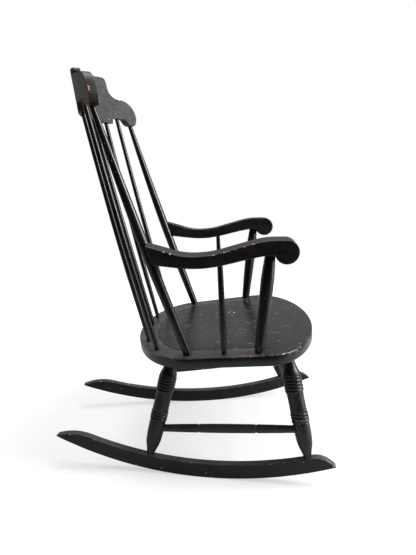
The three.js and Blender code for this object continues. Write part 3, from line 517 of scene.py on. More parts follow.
PAINTS = {
    "turned": make_paint(
        "turned_black_paint", ALONG_Z, TURNED_RUBBED, LEG_CHIPS, edge_wear=-0.1, dullness=0.27,
    ),
    "handled": make_paint(
        "handled_black_paint", ALONG_Z, THIN_BLACK, HANDLED_CHIPS, edge_wear=-0.1, dullness=0.19,
    ),
    "seat": make_paint(
        "seat_black_paint", ALONG_Y, SEAT_RIM_RUBBED_AND_WARM_LIGHT, SEAT_CHIPS,
        edge_wear=-0.02, scratched=True, dullness=0.13, faded_and_sheen_colour=SEAT_FADED,
    ),
    "rocker": make_paint(
        "rocker_black_paint", ALONG_Y, ROCKER_RUBBED, ROCKER_CHIPS, scratched=True, gloss=0.4,
    ),
    "arm": make_paint(
        "arm_black_paint", ALONG_Y, ARM_RUBBED, ARM_CHIPS, edge_wear=-0.07, gloss=0.38,
    ),
    "crest": make_paint(
        "crest_black_paint", ALONG_X, CREST_RUBBED_AND_WARM_LIGHT, CREST_CHIPS,
        edge_wear=0.04, dullness=0.36, faded_and_sheen_colour=CREST_FRONT_PAINTED_SHEEN, gloss=0.25,
    ),
}
print("paints:", list(PAINTS))

# %% [markdown]
# Two finishes have no paint. The pins in the crest rail are bare wood, with rings drawn out along
# their length. The screws are steel that has gone brown in spots, with fine marks from turning.

# %% Wood and steel
RING_WOOD = (0.36, 0.2, 0.11, 1)
RINGS_PER_METRE = 900
RING_STRETCH = (1, 0.2, 1)
RING_SPAN = (0.35, 0.7)
STEEL = (0.16, 0.16, 0.165, 1)
TARNISH = (0.075, 0.055, 0.042, 1)
TARNISH_PER_METRE = 400
TARNISH_SPAN = (0.4, 0.65)
MARKS_PER_METRE = 2500
MARK_STRETCH = (1, 0.1, 1)
FINE_DETAIL = 5
# a finish's roughness where its noise is 0, and how much the noise adds
WOOD_ROUGHNESS = (0.5, 0.3)
STEEL_ROUGHNESS = (0.28, 0.25)

bare_wood, wood_shader, where = new_material("bare_wood")
rings = noise(where, RINGS_PER_METRE, RING_STRETCH, FINE_DETAIL)
feed(wood_shader.inputs["Base Color"], blend(rings.between(*RING_SPAN), PALE_WOOD, RING_WOOD))
feed(wood_shader.inputs["Roughness"], WOOD_ROUGHNESS[0] + rings * WOOD_ROUGHNESS[1])

steel, steel_shader, where = new_material("steel")
tarnish = noise(where, TARNISH_PER_METRE, detail=FINE_DETAIL)
marks = noise(where, MARKS_PER_METRE, MARK_STRETCH)
feed(steel_shader.inputs["Base Color"], blend(tarnish.between(*TARNISH_SPAN), STEEL, TARNISH))
feed(steel_shader.inputs["Roughness"], STEEL_ROUGHNESS[0] + marks * STEEL_ROUGHNESS[1])
steel_shader.inputs["Metallic"].default_value = 1
PAINTS["pin"] = bare_wood
PAINTS["screw"] = steel
print("finishes:", list(PAINTS))

# %% [markdown]
# An operator acts on what is selected, so a piece is always taken alone before it is worked on.
# It is made at the origin and moved to its place at the end. The move is then applied to its mesh
# and the object stays at the origin, as the frame's nodes do.

# %% Handling a piece
# the sitter's right lies towards -X
SIDES = {"right": -1, "left": 1}
REARWARD = Vector((0, 1, 0))
UP = Vector((0, 0, 1))
EASED_ANGLE = math.radians(30)


def take(piece):
    """Selects one piece alone, ready for an operator."""
    deselect_all()
    piece.select_set(True)
    bpy.context.view_layer.objects.active = piece


def finish_with(piece, kind, **settings):
    """Adds a modifier and applies it at once."""
    take(piece)
    modifier = piece.modifiers.new(kind.lower(), kind)
    for name, value in settings.items():
        setattr(modifier, name, value)
    bpy.ops.object.modifier_apply(modifier=modifier.name)


def shade_smooth(piece, angle):
    """Smooth shading, but for the edges that are sharper than an angle."""
    take(piece)
    bpy.ops.object.shade_smooth_by_angle(angle=angle)


def smooth_over(piece):
    """Smooth shading that keeps the flats looking flat."""
    shade_smooth(piece, EASED_ANGLE)
    finish_with(piece, "WEIGHTED_NORMAL", keep_sharp=True)


def ease_edges(piece, width, segments=3):
    """Rounds every sharp edge."""
    finish_with(
        piece, "BEVEL", width=width, segments=segments,
        limit_method="ANGLE", angle_limit=EASED_ANGLE, use_clamp_overlap=False,
    )


def cut_with(piece, cutter):
    """Cuts one thing's shape out of another."""
    finish_with(piece, "BOOLEAN", object=cutter, operation="DIFFERENCE", solver="EXACT")
    bpy.data.objects.remove(cutter)


def axes_at(start, x, y, z):
    """A frame at a point, with three given axes."""
    return Matrix.Translation(start) @ Matrix((x, y, z)).transposed().to_4x4()


def frame_of(start, along, across):
    """A frame at a point, with Z along a direction and X as near across as it can be."""
    z = along.normalized()
    x = (across - across.dot(z) * z).normalized()
    return axes_at(start, x, z.cross(x), z)


def settle(piece, matrix):
    """Moves a piece to its place and leaves its object at the origin."""
    piece.matrix_world = matrix
    take(piece)
    bpy.ops.object.transform_apply(location=True, rotation=True, scale=True)


print("a piece can be taken, eased, cut and settled")

# %% [markdown]
# Every turned piece is made as on a lathe: its outline is drawn beside the axis, point by point,
# and spun once round. A turner draws such an outline through a few marks, so a smooth curve is
# laid through named marks here too.

# %% Lathe
LATHE_STEPS = 40
WELD = 0.005 * MM
TURNED_ANGLE = math.radians(50)


def through_marks(marks, per_gap=6):
    """A smooth curve y(x) through marks (x, y), as a list of points."""
    slopes = []
    for i in range(len(marks)):
        before, after = marks[max(0, i - 1)], marks[min(len(marks) - 1, i + 1)]
        slopes.append((after[1] - before[1]) / (after[0] - before[0]))
    points = []
    for i in range(len(marks) - 1):
        (xa, ya), (xb, yb) = marks[i], marks[i + 1]
        gap = xb - xa
        for step in range(per_gap):
            t = step / per_gap
            keep, lean_a = 2 * t**3 - 3 * t**2 + 1, t**3 - 2 * t**2 + t
            take_on, lean_b = 3 * t**2 - 2 * t**3, t**3 - t**2
            y = keep * ya + lean_a * gap * slopes[i] + take_on * yb + lean_b * gap * slopes[i + 1]
            points.append((xa + gap * t, y))
    return points + [marks[-1]]


def turn_on_lathe(name, outline, steps=LATHE_STEPS):
    """Spins an outline of (height, radius) points round the Z axis. It starts and ends on the axis."""
    deselect_all()
    bpy.ops.mesh.primitive_plane_add(size=MM, enter_editmode=True)
    bpy.ops.mesh.select_mode(type="VERT")
    bpy.ops.mesh.select_all(action="SELECT")
    bpy.ops.mesh.merge(type="CENTER")
    height, radius = outline[0]
    bpy.ops.transform.translate(value=(radius, 0, height))
    for next_height, next_radius in outline[1:]:
        move = (next_radius - radius, 0, next_height - height)
        bpy.ops.mesh.extrude_vertices_move(TRANSFORM_OT_translate={"value": move})
        height, radius = next_height, next_radius
    bpy.ops.mesh.select_all(action="SELECT")
    bpy.ops.mesh.spin(steps=steps, angle=2 * math.pi, center=(0, 0, 0), axis=(0, 0, 1))
    close_mesh()
    piece = bpy.context.object
    piece.name = name
    return piece


def close_mesh():
    """Merges the doubles of the mesh in edit mode, turns its faces outwards and ends edit mode."""
    bpy.ops.mesh.select_all(action="SELECT")
    bpy.ops.mesh.remove_doubles(threshold=WELD)
    bpy.ops.mesh.normals_make_consistent(inside=False)
    bpy.ops.object.mode_set(mode="OBJECT")


print("a full turn on the lathe has", LATHE_STEPS, "steps")

# %% [markdown]
# Flat pieces start as a disc with one point in its rim for each point of a template. The rim is
# moved on to the template, as a plank is sawn to a line, and the disc is extruded to its thickness.

# %% Saw
def saw_to_line(name, outline, thickness):
    """A plate with the outline (x, y), from z = 0 up to its thickness."""
    deselect_all()
    bpy.ops.mesh.primitive_circle_add(vertices=len(outline), radius=1, fill_type="NGON")
    piece = bpy.context.object
    piece.name = name
    for vertex, (x, y) in zip(piece.data.vertices, outline):
        vertex.co = (x, y, 0)
    bpy.ops.object.mode_set(mode="EDIT")
    bpy.ops.mesh.select_all(action="SELECT")
    bpy.ops.mesh.extrude_region_move(TRANSFORM_OT_translate={"value": (0, 0, thickness)})
    bpy.ops.mesh.select_all(action="SELECT")
    bpy.ops.mesh.normals_make_consistent(inside=False)
    bpy.ops.object.mode_set(mode="OBJECT")
    return piece


print("a plank can be sawn to a line")

# %% [markdown]
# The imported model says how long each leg, post and spindle is and how it leans. Its points lie
# thickest at the two ends, so the points in a thin slice at each end are found along the piece's
# longest direction, and their middles give both.

# %% Ends of a node
END_SLICE = 0.2 * MM


def ends_of(node):
    """The middles of a long node's two ends, the lower one first."""
    corners = {tuple(round(c, 6) for c in vertex.co) for vertex in nodes[node].data.vertices}
    points = np.array(sorted(corners))
    middle = points.mean(axis=0)
    along = np.linalg.svd(points - middle)[2][0]
    reach = (points - middle) @ along
    near = points[reach < reach.min() + END_SLICE].mean(axis=0)
    far = points[reach > reach.max() - END_SLICE].mean(axis=0)
    low, high = sorted((near, far), key=lambda point: point[2])
    return Vector(low), Vector(high)


def between_ends(name, low_tenon, high_tenon):
    """The two ends of the part of a node that shows between its tenons."""
    low, high = ends_of(name)
    along = (high - low).normalized()
    return low + along * low_tenon, high - along * high_tenon


print("a leg reaches from", *(tuple(round(c, 3) for c in end) for end in ends_of("front_leg_right")))

# %% [markdown]
# Paint wears off where an edge is sharp, so the mesh is measured: how far the surface turns from
# one face to the next, over the distance between their middles. A finished piece then says on
# which body it rides, which node it replaces and which paint it has.

# %% Wear and handing in
# turn to the metre at which wear starts, and at which it is full
SAWN_BENDS = (120, 300)
BEADED_BENDS = (95, 260)
PLAIN_BENDS = (220, 500)


def mark_worn(mesh, flattest, sharpest):
    """Writes how sharply the surface turns at each corner, from 0 to 1. Only outer edges count."""
    faces, loops = len(mesh.polygons), len(mesh.loops)
    centres, normals = np.empty(3 * faces), np.empty(3 * faces)
    sizes, loop_edges = np.empty(faces, int), np.empty(loops, int)
    edge_ends = np.empty(2 * len(mesh.edges), int)
    mesh.polygons.foreach_get("center", centres)
    mesh.polygons.foreach_get("normal", normals)
    mesh.polygons.foreach_get("loop_total", sizes)
    mesh.loops.foreach_get("edge_index", loop_edges)
    mesh.edges.foreach_get("vertices", edge_ends)
    centres, normals, edge_ends = centres.reshape(-1, 3), normals.reshape(-1, 3), edge_ends.reshape(-1, 2)
    order = np.argsort(loop_edges, kind="stable")
    pairs = np.repeat(np.arange(faces), sizes)[order].reshape(-1, 2)
    gap = centres[pairs[:, 1]] - centres[pairs[:, 0]]
    change = normals[pairs[:, 1]] - normals[pairs[:, 0]]
    outward = (gap * change).sum(axis=1) > 0
    bend = np.linalg.norm(change, axis=1) / np.maximum(np.linalg.norm(gap, axis=1), WELD) * outward
    values = np.zeros(len(mesh.vertices))
    for end in range(2):
        np.maximum.at(values, edge_ends[:, end], bend)
    values = np.clip((values - flattest) / (sharpest - flattest), 0, 1)
    mesh.attributes.new("worn", "FLOAT", "POINT").data.foreach_set("value", values)


def hand_in(piece, *stands_for, slot="black_paint", paint="turned", bends=SAWN_BENDS, wear_and_painted_light=None):
    """Gives a finished piece its body, the nodes that it stands for and its paint. The slot is not used."""
    mesh = piece.data
    mark_worn(mesh, *bends)
    faces = [wear_and_painted_light(face) if wear_and_painted_light else 0 for face in mesh.polygons]
    mesh.attributes.new("wear_and_painted_light", "FLOAT", "FACE").data.foreach_set("value", faces)
    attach(piece, "root")
    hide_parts(*stands_for)
    mesh.materials.clear()
    mesh.materials.append(PAINTS[paint])


def clear_wear(piece, spared):
    """Takes the wear off the points that a list marks as spared."""
    for worn, is_spared in zip(piece.data.attributes["worn"].data, spared):
        if is_spared:
            worn.value = 0


print("wear starts at bends of", SAWN_BENDS[0], BEADED_BENDS[0], "and", PLAIN_BENDS[0], "to the metre")

# %% [markdown]
# The legs are the richest turnings: a slim neck, five beads, a waist, three beads, a full calf
# and a slender foot. A bead is half an ellipse that stands on the bottom of its groove, and the
# rest is a curve through marks. The beads of the rear legs sit a little higher.

# %% Leg outline
LEG_RADIUS = 24.3 * MM
LEG_TENON = 22 * MM
LEG_SINK = 3 * MM
LEG_NECK_RADIUS = 14.5 * MM
LEG_FOOT_RADIUS = 9.4 * MM
BEAD_DEPTH = 2.2 * MM
BEAD_POINTS = 8
# points to a gap between two marks of the neck and the waist
CURVE_POINTS = 4
# how much higher a row's beads sit, as a share of the length
BEAD_RAISE = {"front": 0, "rear": 0.019}
# share of the leg's length, share of its radius
LEG_NECK_SHARES = [(0.05, 0.62), (0.093, 0.67), (0.13, 0.745), (0.17, 0.89), (0.197, 0.955)]
LEG_UPPER_BEADS = (0.206, 0.363, 5, 1)
LEG_WAIST_SHARES = [(0.374, 0.895), (0.4, 0.882), (0.45, 0.875), (0.5, 0.88), (0.548, 0.89)]
LEG_LOWER_BEADS = (0.56, 0.655, 3, 0.95)
LEG_CALF_SHARES = [
    (0.667, 0.885), (0.69, 0.893), (0.76, 0.883), (0.81, 0.85), (0.85, 0.81), (0.89, 0.725), (0.94, 0.545),
]


def bead_row(start, end, count, radius, depth):
    """Beads between two heights, as (height, radius) points."""
    pitch = (end - start) / count
    points = [(start, radius - depth)]
    for bead in range(count):
        for step in range(1, BEAD_POINTS + 1):
            turn = math.pi * step / BEAD_POINTS
            height = start + pitch * (bead + (1 - math.cos(turn)) / 2)
            points.append((height, radius - depth + depth * math.sin(turn)))
    return points


def leg_outline(length, lift):
    """From the tenon in the seat down to the tenon in the rocker."""
    neck, waist, calf = (
        [((share - up) * length, size * LEG_RADIUS) for share, size in shares]
        for shares, up in ((LEG_NECK_SHARES, lift), (LEG_WAIST_SHARES, lift), (LEG_CALF_SHARES, 0))
    )
    beads = [
        bead_row((start - lift) * length, (end - lift) * length, count, size * LEG_RADIUS, BEAD_DEPTH)
        for start, end, count, size in (LEG_UPPER_BEADS, LEG_LOWER_BEADS)
    ]
    return [
        (-LEG_SINK, 0),
        (-LEG_SINK, LEG_NECK_RADIUS),
        *through_marks([(0, LEG_NECK_RADIUS), *neck], CURVE_POINTS),
        *beads[0],
        *through_marks(waist, CURVE_POINTS),
        *beads[1],
        *through_marks([*calf, (length, LEG_FOOT_RADIUS)]),
        (length + LEG_SINK, LEG_FOOT_RADIUS),
        (length + LEG_SINK, 0),
    ]


print("an outline of a leg has", len(leg_outline(1, 0)), "points")

# %% [markdown]
# The four legs differ in length. One front and one rear leg are turned to the mean length, and
# each leg is a copy of one, stretched to its own length, so its beads stay at the same shares.

# %% Legs
def copy_of(piece, name):
    """A copy with a mesh of its own."""
    twin = piece.copy()
    twin.data = piece.data.copy()
    twin.name = name
    bpy.context.scene.collection.objects.link(twin)
    return twin


LEGS = [f"{row}_leg_{side}" for row in BEAD_RAISE for side in SIDES]
leg_length = {}
for name in LEGS:
    foot, top = ends_of(name)
    leg_length[name] = (top - foot).length - 2 * LEG_TENON
mean_length = sum(leg_length.values()) / len(LEGS)
leg_blanks = {}
for row, lift in BEAD_RAISE.items():
    leg_blanks[row] = turn_on_lathe(f"{row}_leg_blank", leg_outline(mean_length, lift))
    shade_smooth(leg_blanks[row], TURNED_ANGLE)

for name in LEGS:
    foot, top = ends_of(name)
    down = (foot - top).normalized()
    leg = copy_of(leg_blanks[name.split("_")[0]], f"turned_{name}")
    stretch = Matrix.Diagonal((1, 1, leg_length[name] / mean_length, 1))
    settle(leg, frame_of(top + down * LEG_TENON, down, REARWARD) @ stretch)
    hand_in(leg, name, bends=BEADED_BENDS)
for blank in leg_blanks.values():
    bpy.data.objects.remove(blank)
print("legs:", {name: round(length, 4) for name, length in leg_length.items()})

# %% [markdown]
# A back post swells below its middle and bows a little to the rear, and so does a back spindle.
# Both come off the lathe straight. The bow is then put in: each slice moves by its share of a
# sine, none at the two ends.

# %% Back posts and spindles
POST_TENONS = (22 * MM, 36 * MM)
POST_SINK = 3 * MM
POST_BOW = 4.5 * MM
# share of the length, radius in mm
POST_MARKS = [(0, 10.8), (0.15, 11.8), (0.34, 12.8), (0.5, 12.8), (0.7, 10.85), (0.87, 8.85), (1, 6.9)]
SPINDLE_TENONS = (20 * MM, 22 * MM)
SPINDLE_BOW = 3.5 * MM
SPINDLE_MARKS = [(0, 6.2), (0.15, 6.8), (0.3, 7.3), (0.45, 7.3), (0.75, 6.55), (1, 5.8)]
SPINDLES = 6


def bow(piece, length, depth):
    """Moves each slice of a piece along its own X axis."""
    for vertex in piece.data.vertices:
        share = min(1, max(0, vertex.co.z / length))
        vertex.co.x += depth * math.sin(math.pi * share)


def stand_turning(name, marks, tenons, sink=POST_SINK, bow_depth=0):
    """Turns a piece that shows between a node's tenons and sinks a little into both its holes."""
    base, head = between_ends(name, *tenons)
    length = (head - base).length
    body = through_marks([(share * length, radius * MM) for share, radius in marks])
    first, last = body[0][1], body[-1][1]
    outline = [(-sink, 0), (-sink, first), *body, (length + sink, last), (length + sink, 0)]
    piece = turn_on_lathe(f"turned_{name}", outline)
    shade_smooth(piece, TURNED_ANGLE)
    bow(piece, length, bow_depth)
    settle(piece, frame_of(base, head - base, REARWARD))
    hand_in(piece, name, paint="handled", bends=PLAIN_BENDS)
    return length


for side in SIDES:
    post_length = stand_turning(f"back_post_{side}", POST_MARKS, POST_TENONS, bow_depth=POST_BOW)
for number in range(1, SPINDLES + 1):
    stand_turning(f"back_spindle_{number}", SPINDLE_MARKS, SPINDLE_TENONS, bow_depth=SPINDLE_BOW)
print("posts are", round(post_length, 4), "m long between seat and crest, with", SPINDLES, "spindles")

# %% [markdown]
# Each arm stands on a stout post under its scroll and on one slender spindle behind it. They are
# turned in the same way, straight, and sink a little deeper, because the arm's underside curves.

# %% Arm posts and arm spindles
ARM_SINK = 4 * MM
ARM_POST_TENONS = (22 * MM, 18 * MM)
ARM_POST_MARKS = [
    (0, 11.7), (0.08, 13.2), (0.22, 14.1), (0.4, 15.15), (0.58, 16), (0.74, 16), (0.88, 14.3), (1, 12.2),
]
ARM_SPINDLE_TENONS = (20 * MM, 15 * MM)
ARM_SPINDLE_MARKS = [(0, 6.4), (0.3, 7.6), (0.65, 7.7), (1, 6.4)]

for side in SIDES:
    stand_turning(f"arm_post_{side}", ARM_POST_MARKS, ARM_POST_TENONS, ARM_SINK)
    stand_turning(f"arm_spindle_{side}", ARM_SPINDLE_MARKS, ARM_SPINDLE_TENONS, ARM_SINK)
print("arm posts and arm spindles stand under both arms")

# %% [markdown]
# Four stretchers tie the legs together. Each swells towards its middle and has two rounded
# grooves, so its outline is a sine with two dips, drawn finely only where the dips are.

# %% Stretchers
STRETCHER_TENON = 13 * MM
STRETCHER_RADIUS = 11.9 * MM
STRETCHER_END_RADIUS = 9.7 * MM
STRETCHER_GROOVE_SHARES = (0.28, 0.72)
STRETCHER_GROOVE_WIDTH = 5 * MM
STRETCHER_GROOVE_DEPTH = 1.6 * MM
STRETCHER_GROOVE_POINTS = 8
STRETCHER_STEPS = 24


def stretcher_outline(length, sink):
    """A long swelling turning with two rounded grooves."""

    def swell(height):
        """The radius between the grooves."""
        rise = math.sin(math.pi * height / length)
        return STRETCHER_END_RADIUS + (STRETCHER_RADIUS - STRETCHER_END_RADIUS) * rise

    heights = {length * step / STRETCHER_STEPS for step in range(STRETCHER_STEPS + 1)}
    points = []
    for share in STRETCHER_GROOVE_SHARES:
        middle = share * length
        half = STRETCHER_GROOVE_WIDTH / 2
        heights = {height for height in heights if abs(height - middle) > STRETCHER_GROOVE_WIDTH}
        for step in range(STRETCHER_GROOVE_POINTS + 1):
            turn = math.pi * step / STRETCHER_GROOVE_POINTS
            height = middle - half * math.cos(turn)
            points.append((height, swell(height) - STRETCHER_GROOVE_DEPTH * math.sin(turn)))
    points += [(height, swell(height)) for height in heights]
    points.sort()
    end = STRETCHER_END_RADIUS
    return [(-sink, 0), (-sink, end), *points, (length + sink, end), (length + sink, 0)]


STRETCHERS = ["side_stretcher_right", "side_stretcher_left", "front_stretcher", "rear_stretcher"]
for name in STRETCHERS:
    low, high = between_ends(name, STRETCHER_TENON, STRETCHER_TENON)
    stretcher = turn_on_lathe(f"turned_{name}", stretcher_outline((high - low).length, LEG_SINK))
    shade_smooth(stretcher, TURNED_ANGLE)
    settle(stretcher, frame_of(low, high - low, REARWARD))
    hand_in(stretcher, name, bends=PLAIN_BENDS, wear_and_painted_light=lambda face: 1)
print("stretchers:", STRETCHERS)

# %% [markdown]
# A rocker is a plank sawn to a long arc, with its top edge brought down to the bottom one at the
# two ends. It is laid out flat, sawn, eased along its edges and then stood up under its legs.

# %% Rockers
ROCKER_RADIUS = {"right": 1020 * MM, "left": 1125 * MM}
ROCKER_FRONT_REACH = {"right": 347 * MM, "left": 381 * MM}
ROCKER_REAR_REACH = {"right": 411 * MM, "left": 424 * MM}
ROCKER_HEIGHT = 40 * MM
ROCKER_THICKNESS = 22 * MM
ROCKER_FRONT_NOSE = 62 * MM
ROCKER_REAR_NOSE = 100 * MM
ROCKER_REAR_SPREAD = 342.4 * MM
ROCKER_FRONT_SPREAD = 565.8 * MM
ROCKER_STEPS = 120
ROCKER_EASE = 1.6 * MM
# a face whose normal points up by more than this is rubbed
ROCKER_TOP = 0.55


def rocker_outline(side):
    """Round a rocker: along the bottom to the rear end and back along the top."""
    radius = ROCKER_RADIUS[side]
    front_reach, rear_reach = ROCKER_FRONT_REACH[side], ROCKER_REAR_REACH[side]
    length = front_reach + rear_reach
    bottom, top = [], []
    for step in range(ROCKER_STEPS + 1):
        reach = length * step / ROCKER_STEPS - front_reach
        floor_gap = radius - math.sqrt(radius**2 - reach**2)
        to_rear = (rear_reach - reach) / ROCKER_REAR_NOSE
        to_front = (front_reach + reach) / ROCKER_FRONT_NOSE
        fullness = 1 - (1 - min(1, to_rear, to_front)) ** 2
        bottom.append((reach, floor_gap))
        top.append((reach, floor_gap + ROCKER_HEIGHT * fullness))
    return bottom + top[-2:0:-1]


# the longer left rocker gives the turn of both and the place where they rest
rocker_length = ROCKER_REAR_REACH["left"] + ROCKER_FRONT_REACH["left"]
toe_in = math.asin((ROCKER_FRONT_SPREAD - ROCKER_REAR_SPREAD) / 2 / rocker_length)
for side, sign in SIDES.items():
    name = f"rocker_{side}"
    rocker = saw_to_line(f"sawn_{name}", rocker_outline(side), ROCKER_THICKNESS)
    ease_edges(rocker, ROCKER_EASE)
    smooth_over(rocker)
    along = Vector((-sign * math.sin(toe_in), math.cos(toe_in), 0))
    through = along.cross(UP)
    rear_end = Vector((sign * ROCKER_REAR_SPREAD / 2, rocker_length * math.cos(toe_in) / 2, 0))
    resting = rear_end - along * ROCKER_REAR_REACH["left"] - through * (ROCKER_THICKNESS / 2)
    settle(rocker, axes_at(resting, along, UP, through))
    hand_in(rocker, name, paint="rocker", wear_and_painted_light=lambda face: float(face.normal.z > ROCKER_TOP))
print("toe-in of the rockers:", round(math.degrees(toe_in), 2), "degrees")

# %% [markdown]
# The seat is one plank with a rounded front and a rounded back, a little wider in front. Two
# halves of ellipses joined by straight sides give its outline from a few sizes, as a template does.

# %% Seat outline
SEAT_HEIGHT = 351 * MM
SEAT_PITCH = math.radians(5.2)
SEAT_SETBACK = 6.5 * MM
SEAT_THICKNESS = 29.5 * MM
SEAT_FRONT_WIDTH = 606 * MM
SEAT_REAR_WIDTH = 556 * MM
SEAT_FRONT_CURVE = 143 * MM
SEAT_SIDE_LENGTH = 197 * MM
SEAT_REAR_CURVE = 163 * MM
SEAT_TOP_ROUND = 2.8 * MM
SEAT_UNDER_ROUND = 7.5 * MM
SEAT_CURVE_STEPS = 48
SEAT_SIDE_STEPS = 12
SEAT_TAPER = (SEAT_FRONT_WIDTH - SEAT_REAR_WIDTH) / 2 / SEAT_SIDE_LENGTH


def seat_side_at(share):
    """Half the seat's width and the place along it, from 0 at the rear of its sides to 1 in front."""
    width = SEAT_REAR_WIDTH + (SEAT_FRONT_WIDTH - SEAT_REAR_WIDTH) * share
    return width / 2, -SEAT_SIDE_LENGTH * share


def seat_outline():
    """Anticlockwise from the +X end of the rear curve, seen from above."""
    points = []
    for step in range(SEAT_CURVE_STEPS):
        turn = math.pi * step / SEAT_CURVE_STEPS
        points.append((SEAT_REAR_WIDTH / 2 * math.cos(turn), SEAT_REAR_CURVE * math.sin(turn)))
    for step in range(SEAT_SIDE_STEPS):
        x, y = seat_side_at(step / SEAT_SIDE_STEPS)
        points.append((-x, y))
    for step in range(SEAT_CURVE_STEPS):
        turn = math.pi * (1 + step / SEAT_CURVE_STEPS)
        y = -SEAT_SIDE_LENGTH + SEAT_FRONT_CURVE * math.sin(turn)
        points.append((SEAT_FRONT_WIDTH / 2 * math.cos(turn), y))
    return points + [seat_side_at(1 - step / SEAT_SIDE_STEPS) for step in range(SEAT_SIDE_STEPS)]


print("the seat's outline has", len(seat_outline()), "points")

# %% [markdown]
# The real seat is hollowed a little where the sitter sits, and a line is cut round the hollow. At
# the back it follows the rim, and in front it turns out to the edge on both sides. A bump in the
# paint could stand for the line, but then the shape would lack it. So a thin tube is laid along
# it, half sunk in the wood, and cut out by a boolean.

# %% Sitting hollow and cut line
HOLLOW_WIDTH = 410 * MM
HOLLOW_LENGTH = 330 * MM
HOLLOW_DEPTH = 4.5 * MM
HOLLOW_FORWARD = 82 * MM
GROOVE_INSET = 58 * MM
GROOVE_REAR_INSET = 54 * MM
GROOVE_HALF_REAR = SEAT_REAR_WIDTH / 2 - GROOVE_INSET
GROOVE_REAR_CURVE = SEAT_REAR_CURVE - GROOVE_REAR_INSET
# the line's front ends lie this far forward, and it turns out to them in quarter circles
GROOVE_END_FORWARD = 205 * MM
GROOVE_RETURN = 28 * MM
GROOVE_TURN_Y = GROOVE_RETURN - GROOVE_END_FORWARD
GROOVE_RADIUS = 1.5 * MM
GROOVE_ROUND = 2
GROOVE_STEPS = 40


def hollow_depth_at(x, y):
    """How far the top lies below its plane."""
    reach = math.hypot(2 * x / HOLLOW_WIDTH, 2 * (y + HOLLOW_FORWARD) / HOLLOW_LENGTH)
    return HOLLOW_DEPTH * (1 - min(1, reach) ** 2) ** 1.5


def groove_line():
    """The cut line from the right edge of the seat round the back to the left edge."""
    turn_x = GROOVE_HALF_REAR - SEAT_TAPER * GROOVE_TURN_Y
    half = []
    for step in range(GROOVE_STEPS + 1):
        turn = math.pi / 2 * (1 - step / GROOVE_STEPS)
        half.append((GROOVE_HALF_REAR * math.cos(turn), GROOVE_REAR_CURVE * math.sin(turn)))
    for step in range(1, SEAT_SIDE_STEPS):
        share = step / SEAT_SIDE_STEPS
        half.append((GROOVE_HALF_REAR + (turn_x - GROOVE_HALF_REAR) * share, GROOVE_TURN_Y * share))
    for step in range(SEAT_SIDE_STEPS + 1):
        turn = math.pi / 2 * step / SEAT_SIDE_STEPS
        x = turn_x + GROOVE_RETURN * (1 - math.cos(turn))
        half.append((x, GROOVE_TURN_Y - GROOVE_RETURN * math.sin(turn)))
    half.append((SEAT_FRONT_WIDTH / 2 + GROOVE_RETURN, half[-1][1]))
    return [(-x, y) for x, y in half[:0:-1]] + half


def groove_cutter(line):
    """A thin tube along the cut line, half sunk in the surface."""
    curve = bpy.data.curves.new("groove_cutter", "CURVE")
    curve.dimensions = "3D"
    curve.bevel_depth = GROOVE_RADIUS
    curve.bevel_resolution = GROOVE_ROUND
    curve.use_fill_caps = True
    spline = curve.splines.new("POLY")
    spline.points.add(len(line) - 1)
    for point, (x, y) in zip(spline.points, line):
        point.co = (x, y, -hollow_depth_at(x, y), 1)
    cutter = bpy.data.objects.new("groove_cutter", curve)
    bpy.context.scene.collection.objects.link(cutter)
    take(cutter)
    bpy.ops.object.convert(target="MESH")
    bpy.ops.object.mode_set(mode="EDIT")
    close_mesh()
    return bpy.context.object


def on_rim(point):
    """True on the top, behind the sitter and outside the cut line."""
    x, y, z = point
    if z < -HOLLOW_DEPTH or y < GROOVE_TURN_Y:
        return False
    if y < 0:
        return abs(x) > GROOVE_HALF_REAR - SEAT_TAPER * y
    return math.hypot(x / GROOVE_HALF_REAR, y / GROOVE_REAR_CURVE) > 1


print("the hollow is", round(1000 * hollow_depth_at(0, -HOLLOW_FORWARD), 1), "mm deep")

# %% [markdown]
# The plank is sawn to its outline, and bevels round its upper edge a little and its lower edge
# more. The flat top is then one large face that can't be hollowed, so it is taken out, filled
# again with a grid of faces, and sunk point by point before the line is cut.

# %% Sawing and cutting the seat
SEAT_CREASE = math.radians(32)
SEAT_ROUND_STEPS = 4
# how far the normal of a flat points up or down, at least
FLAT = 0.9
SELECT_MODES = {"polygons": "FACE", "edges": "EDGE"}


def pick(piece, kind, test):
    """Selects the faces or edges of a piece that pass a test, and stays in edit mode."""
    take(piece)
    bpy.ops.object.mode_set(mode="EDIT")
    bpy.ops.mesh.select_mode(type=SELECT_MODES[kind])
    bpy.ops.mesh.select_all(action="DESELECT")
    bpy.ops.object.mode_set(mode="OBJECT")
    for part in getattr(piece.data, kind):
        part.select = test(part)
    bpy.ops.object.mode_set(mode="EDIT")


def on_top(edge):
    """True for the edges of the seat's flat top."""
    return all(abs(seat.data.vertices[i].co.z) < WELD for i in edge.vertices)


seat = saw_to_line("seat_plank", seat_outline(), -SEAT_THICKNESS)
pick(seat, "polygons", lambda face: face.normal.z > FLAT)
bpy.ops.mesh.bevel(offset=SEAT_TOP_ROUND, segments=SEAT_ROUND_STEPS, affect="EDGES")
bpy.ops.object.mode_set(mode="OBJECT")
pick(seat, "polygons", lambda face: face.normal.z < -FLAT)
bpy.ops.mesh.bevel(offset=SEAT_UNDER_ROUND, segments=SEAT_ROUND_STEPS, affect="EDGES")
bpy.ops.object.mode_set(mode="OBJECT")
pick(seat, "polygons", lambda face: face.normal.z > FLAT and abs(face.center.z) < WELD)
bpy.ops.mesh.delete(type="ONLY_FACE")
bpy.ops.object.mode_set(mode="OBJECT")
pick(seat, "edges", on_top)
bpy.ops.mesh.fill_grid(span=SEAT_CURVE_STEPS // 2 + SEAT_SIDE_STEPS // 2)
bpy.ops.mesh.subdivide(number_cuts=1)
bpy.ops.object.mode_set(mode="OBJECT")
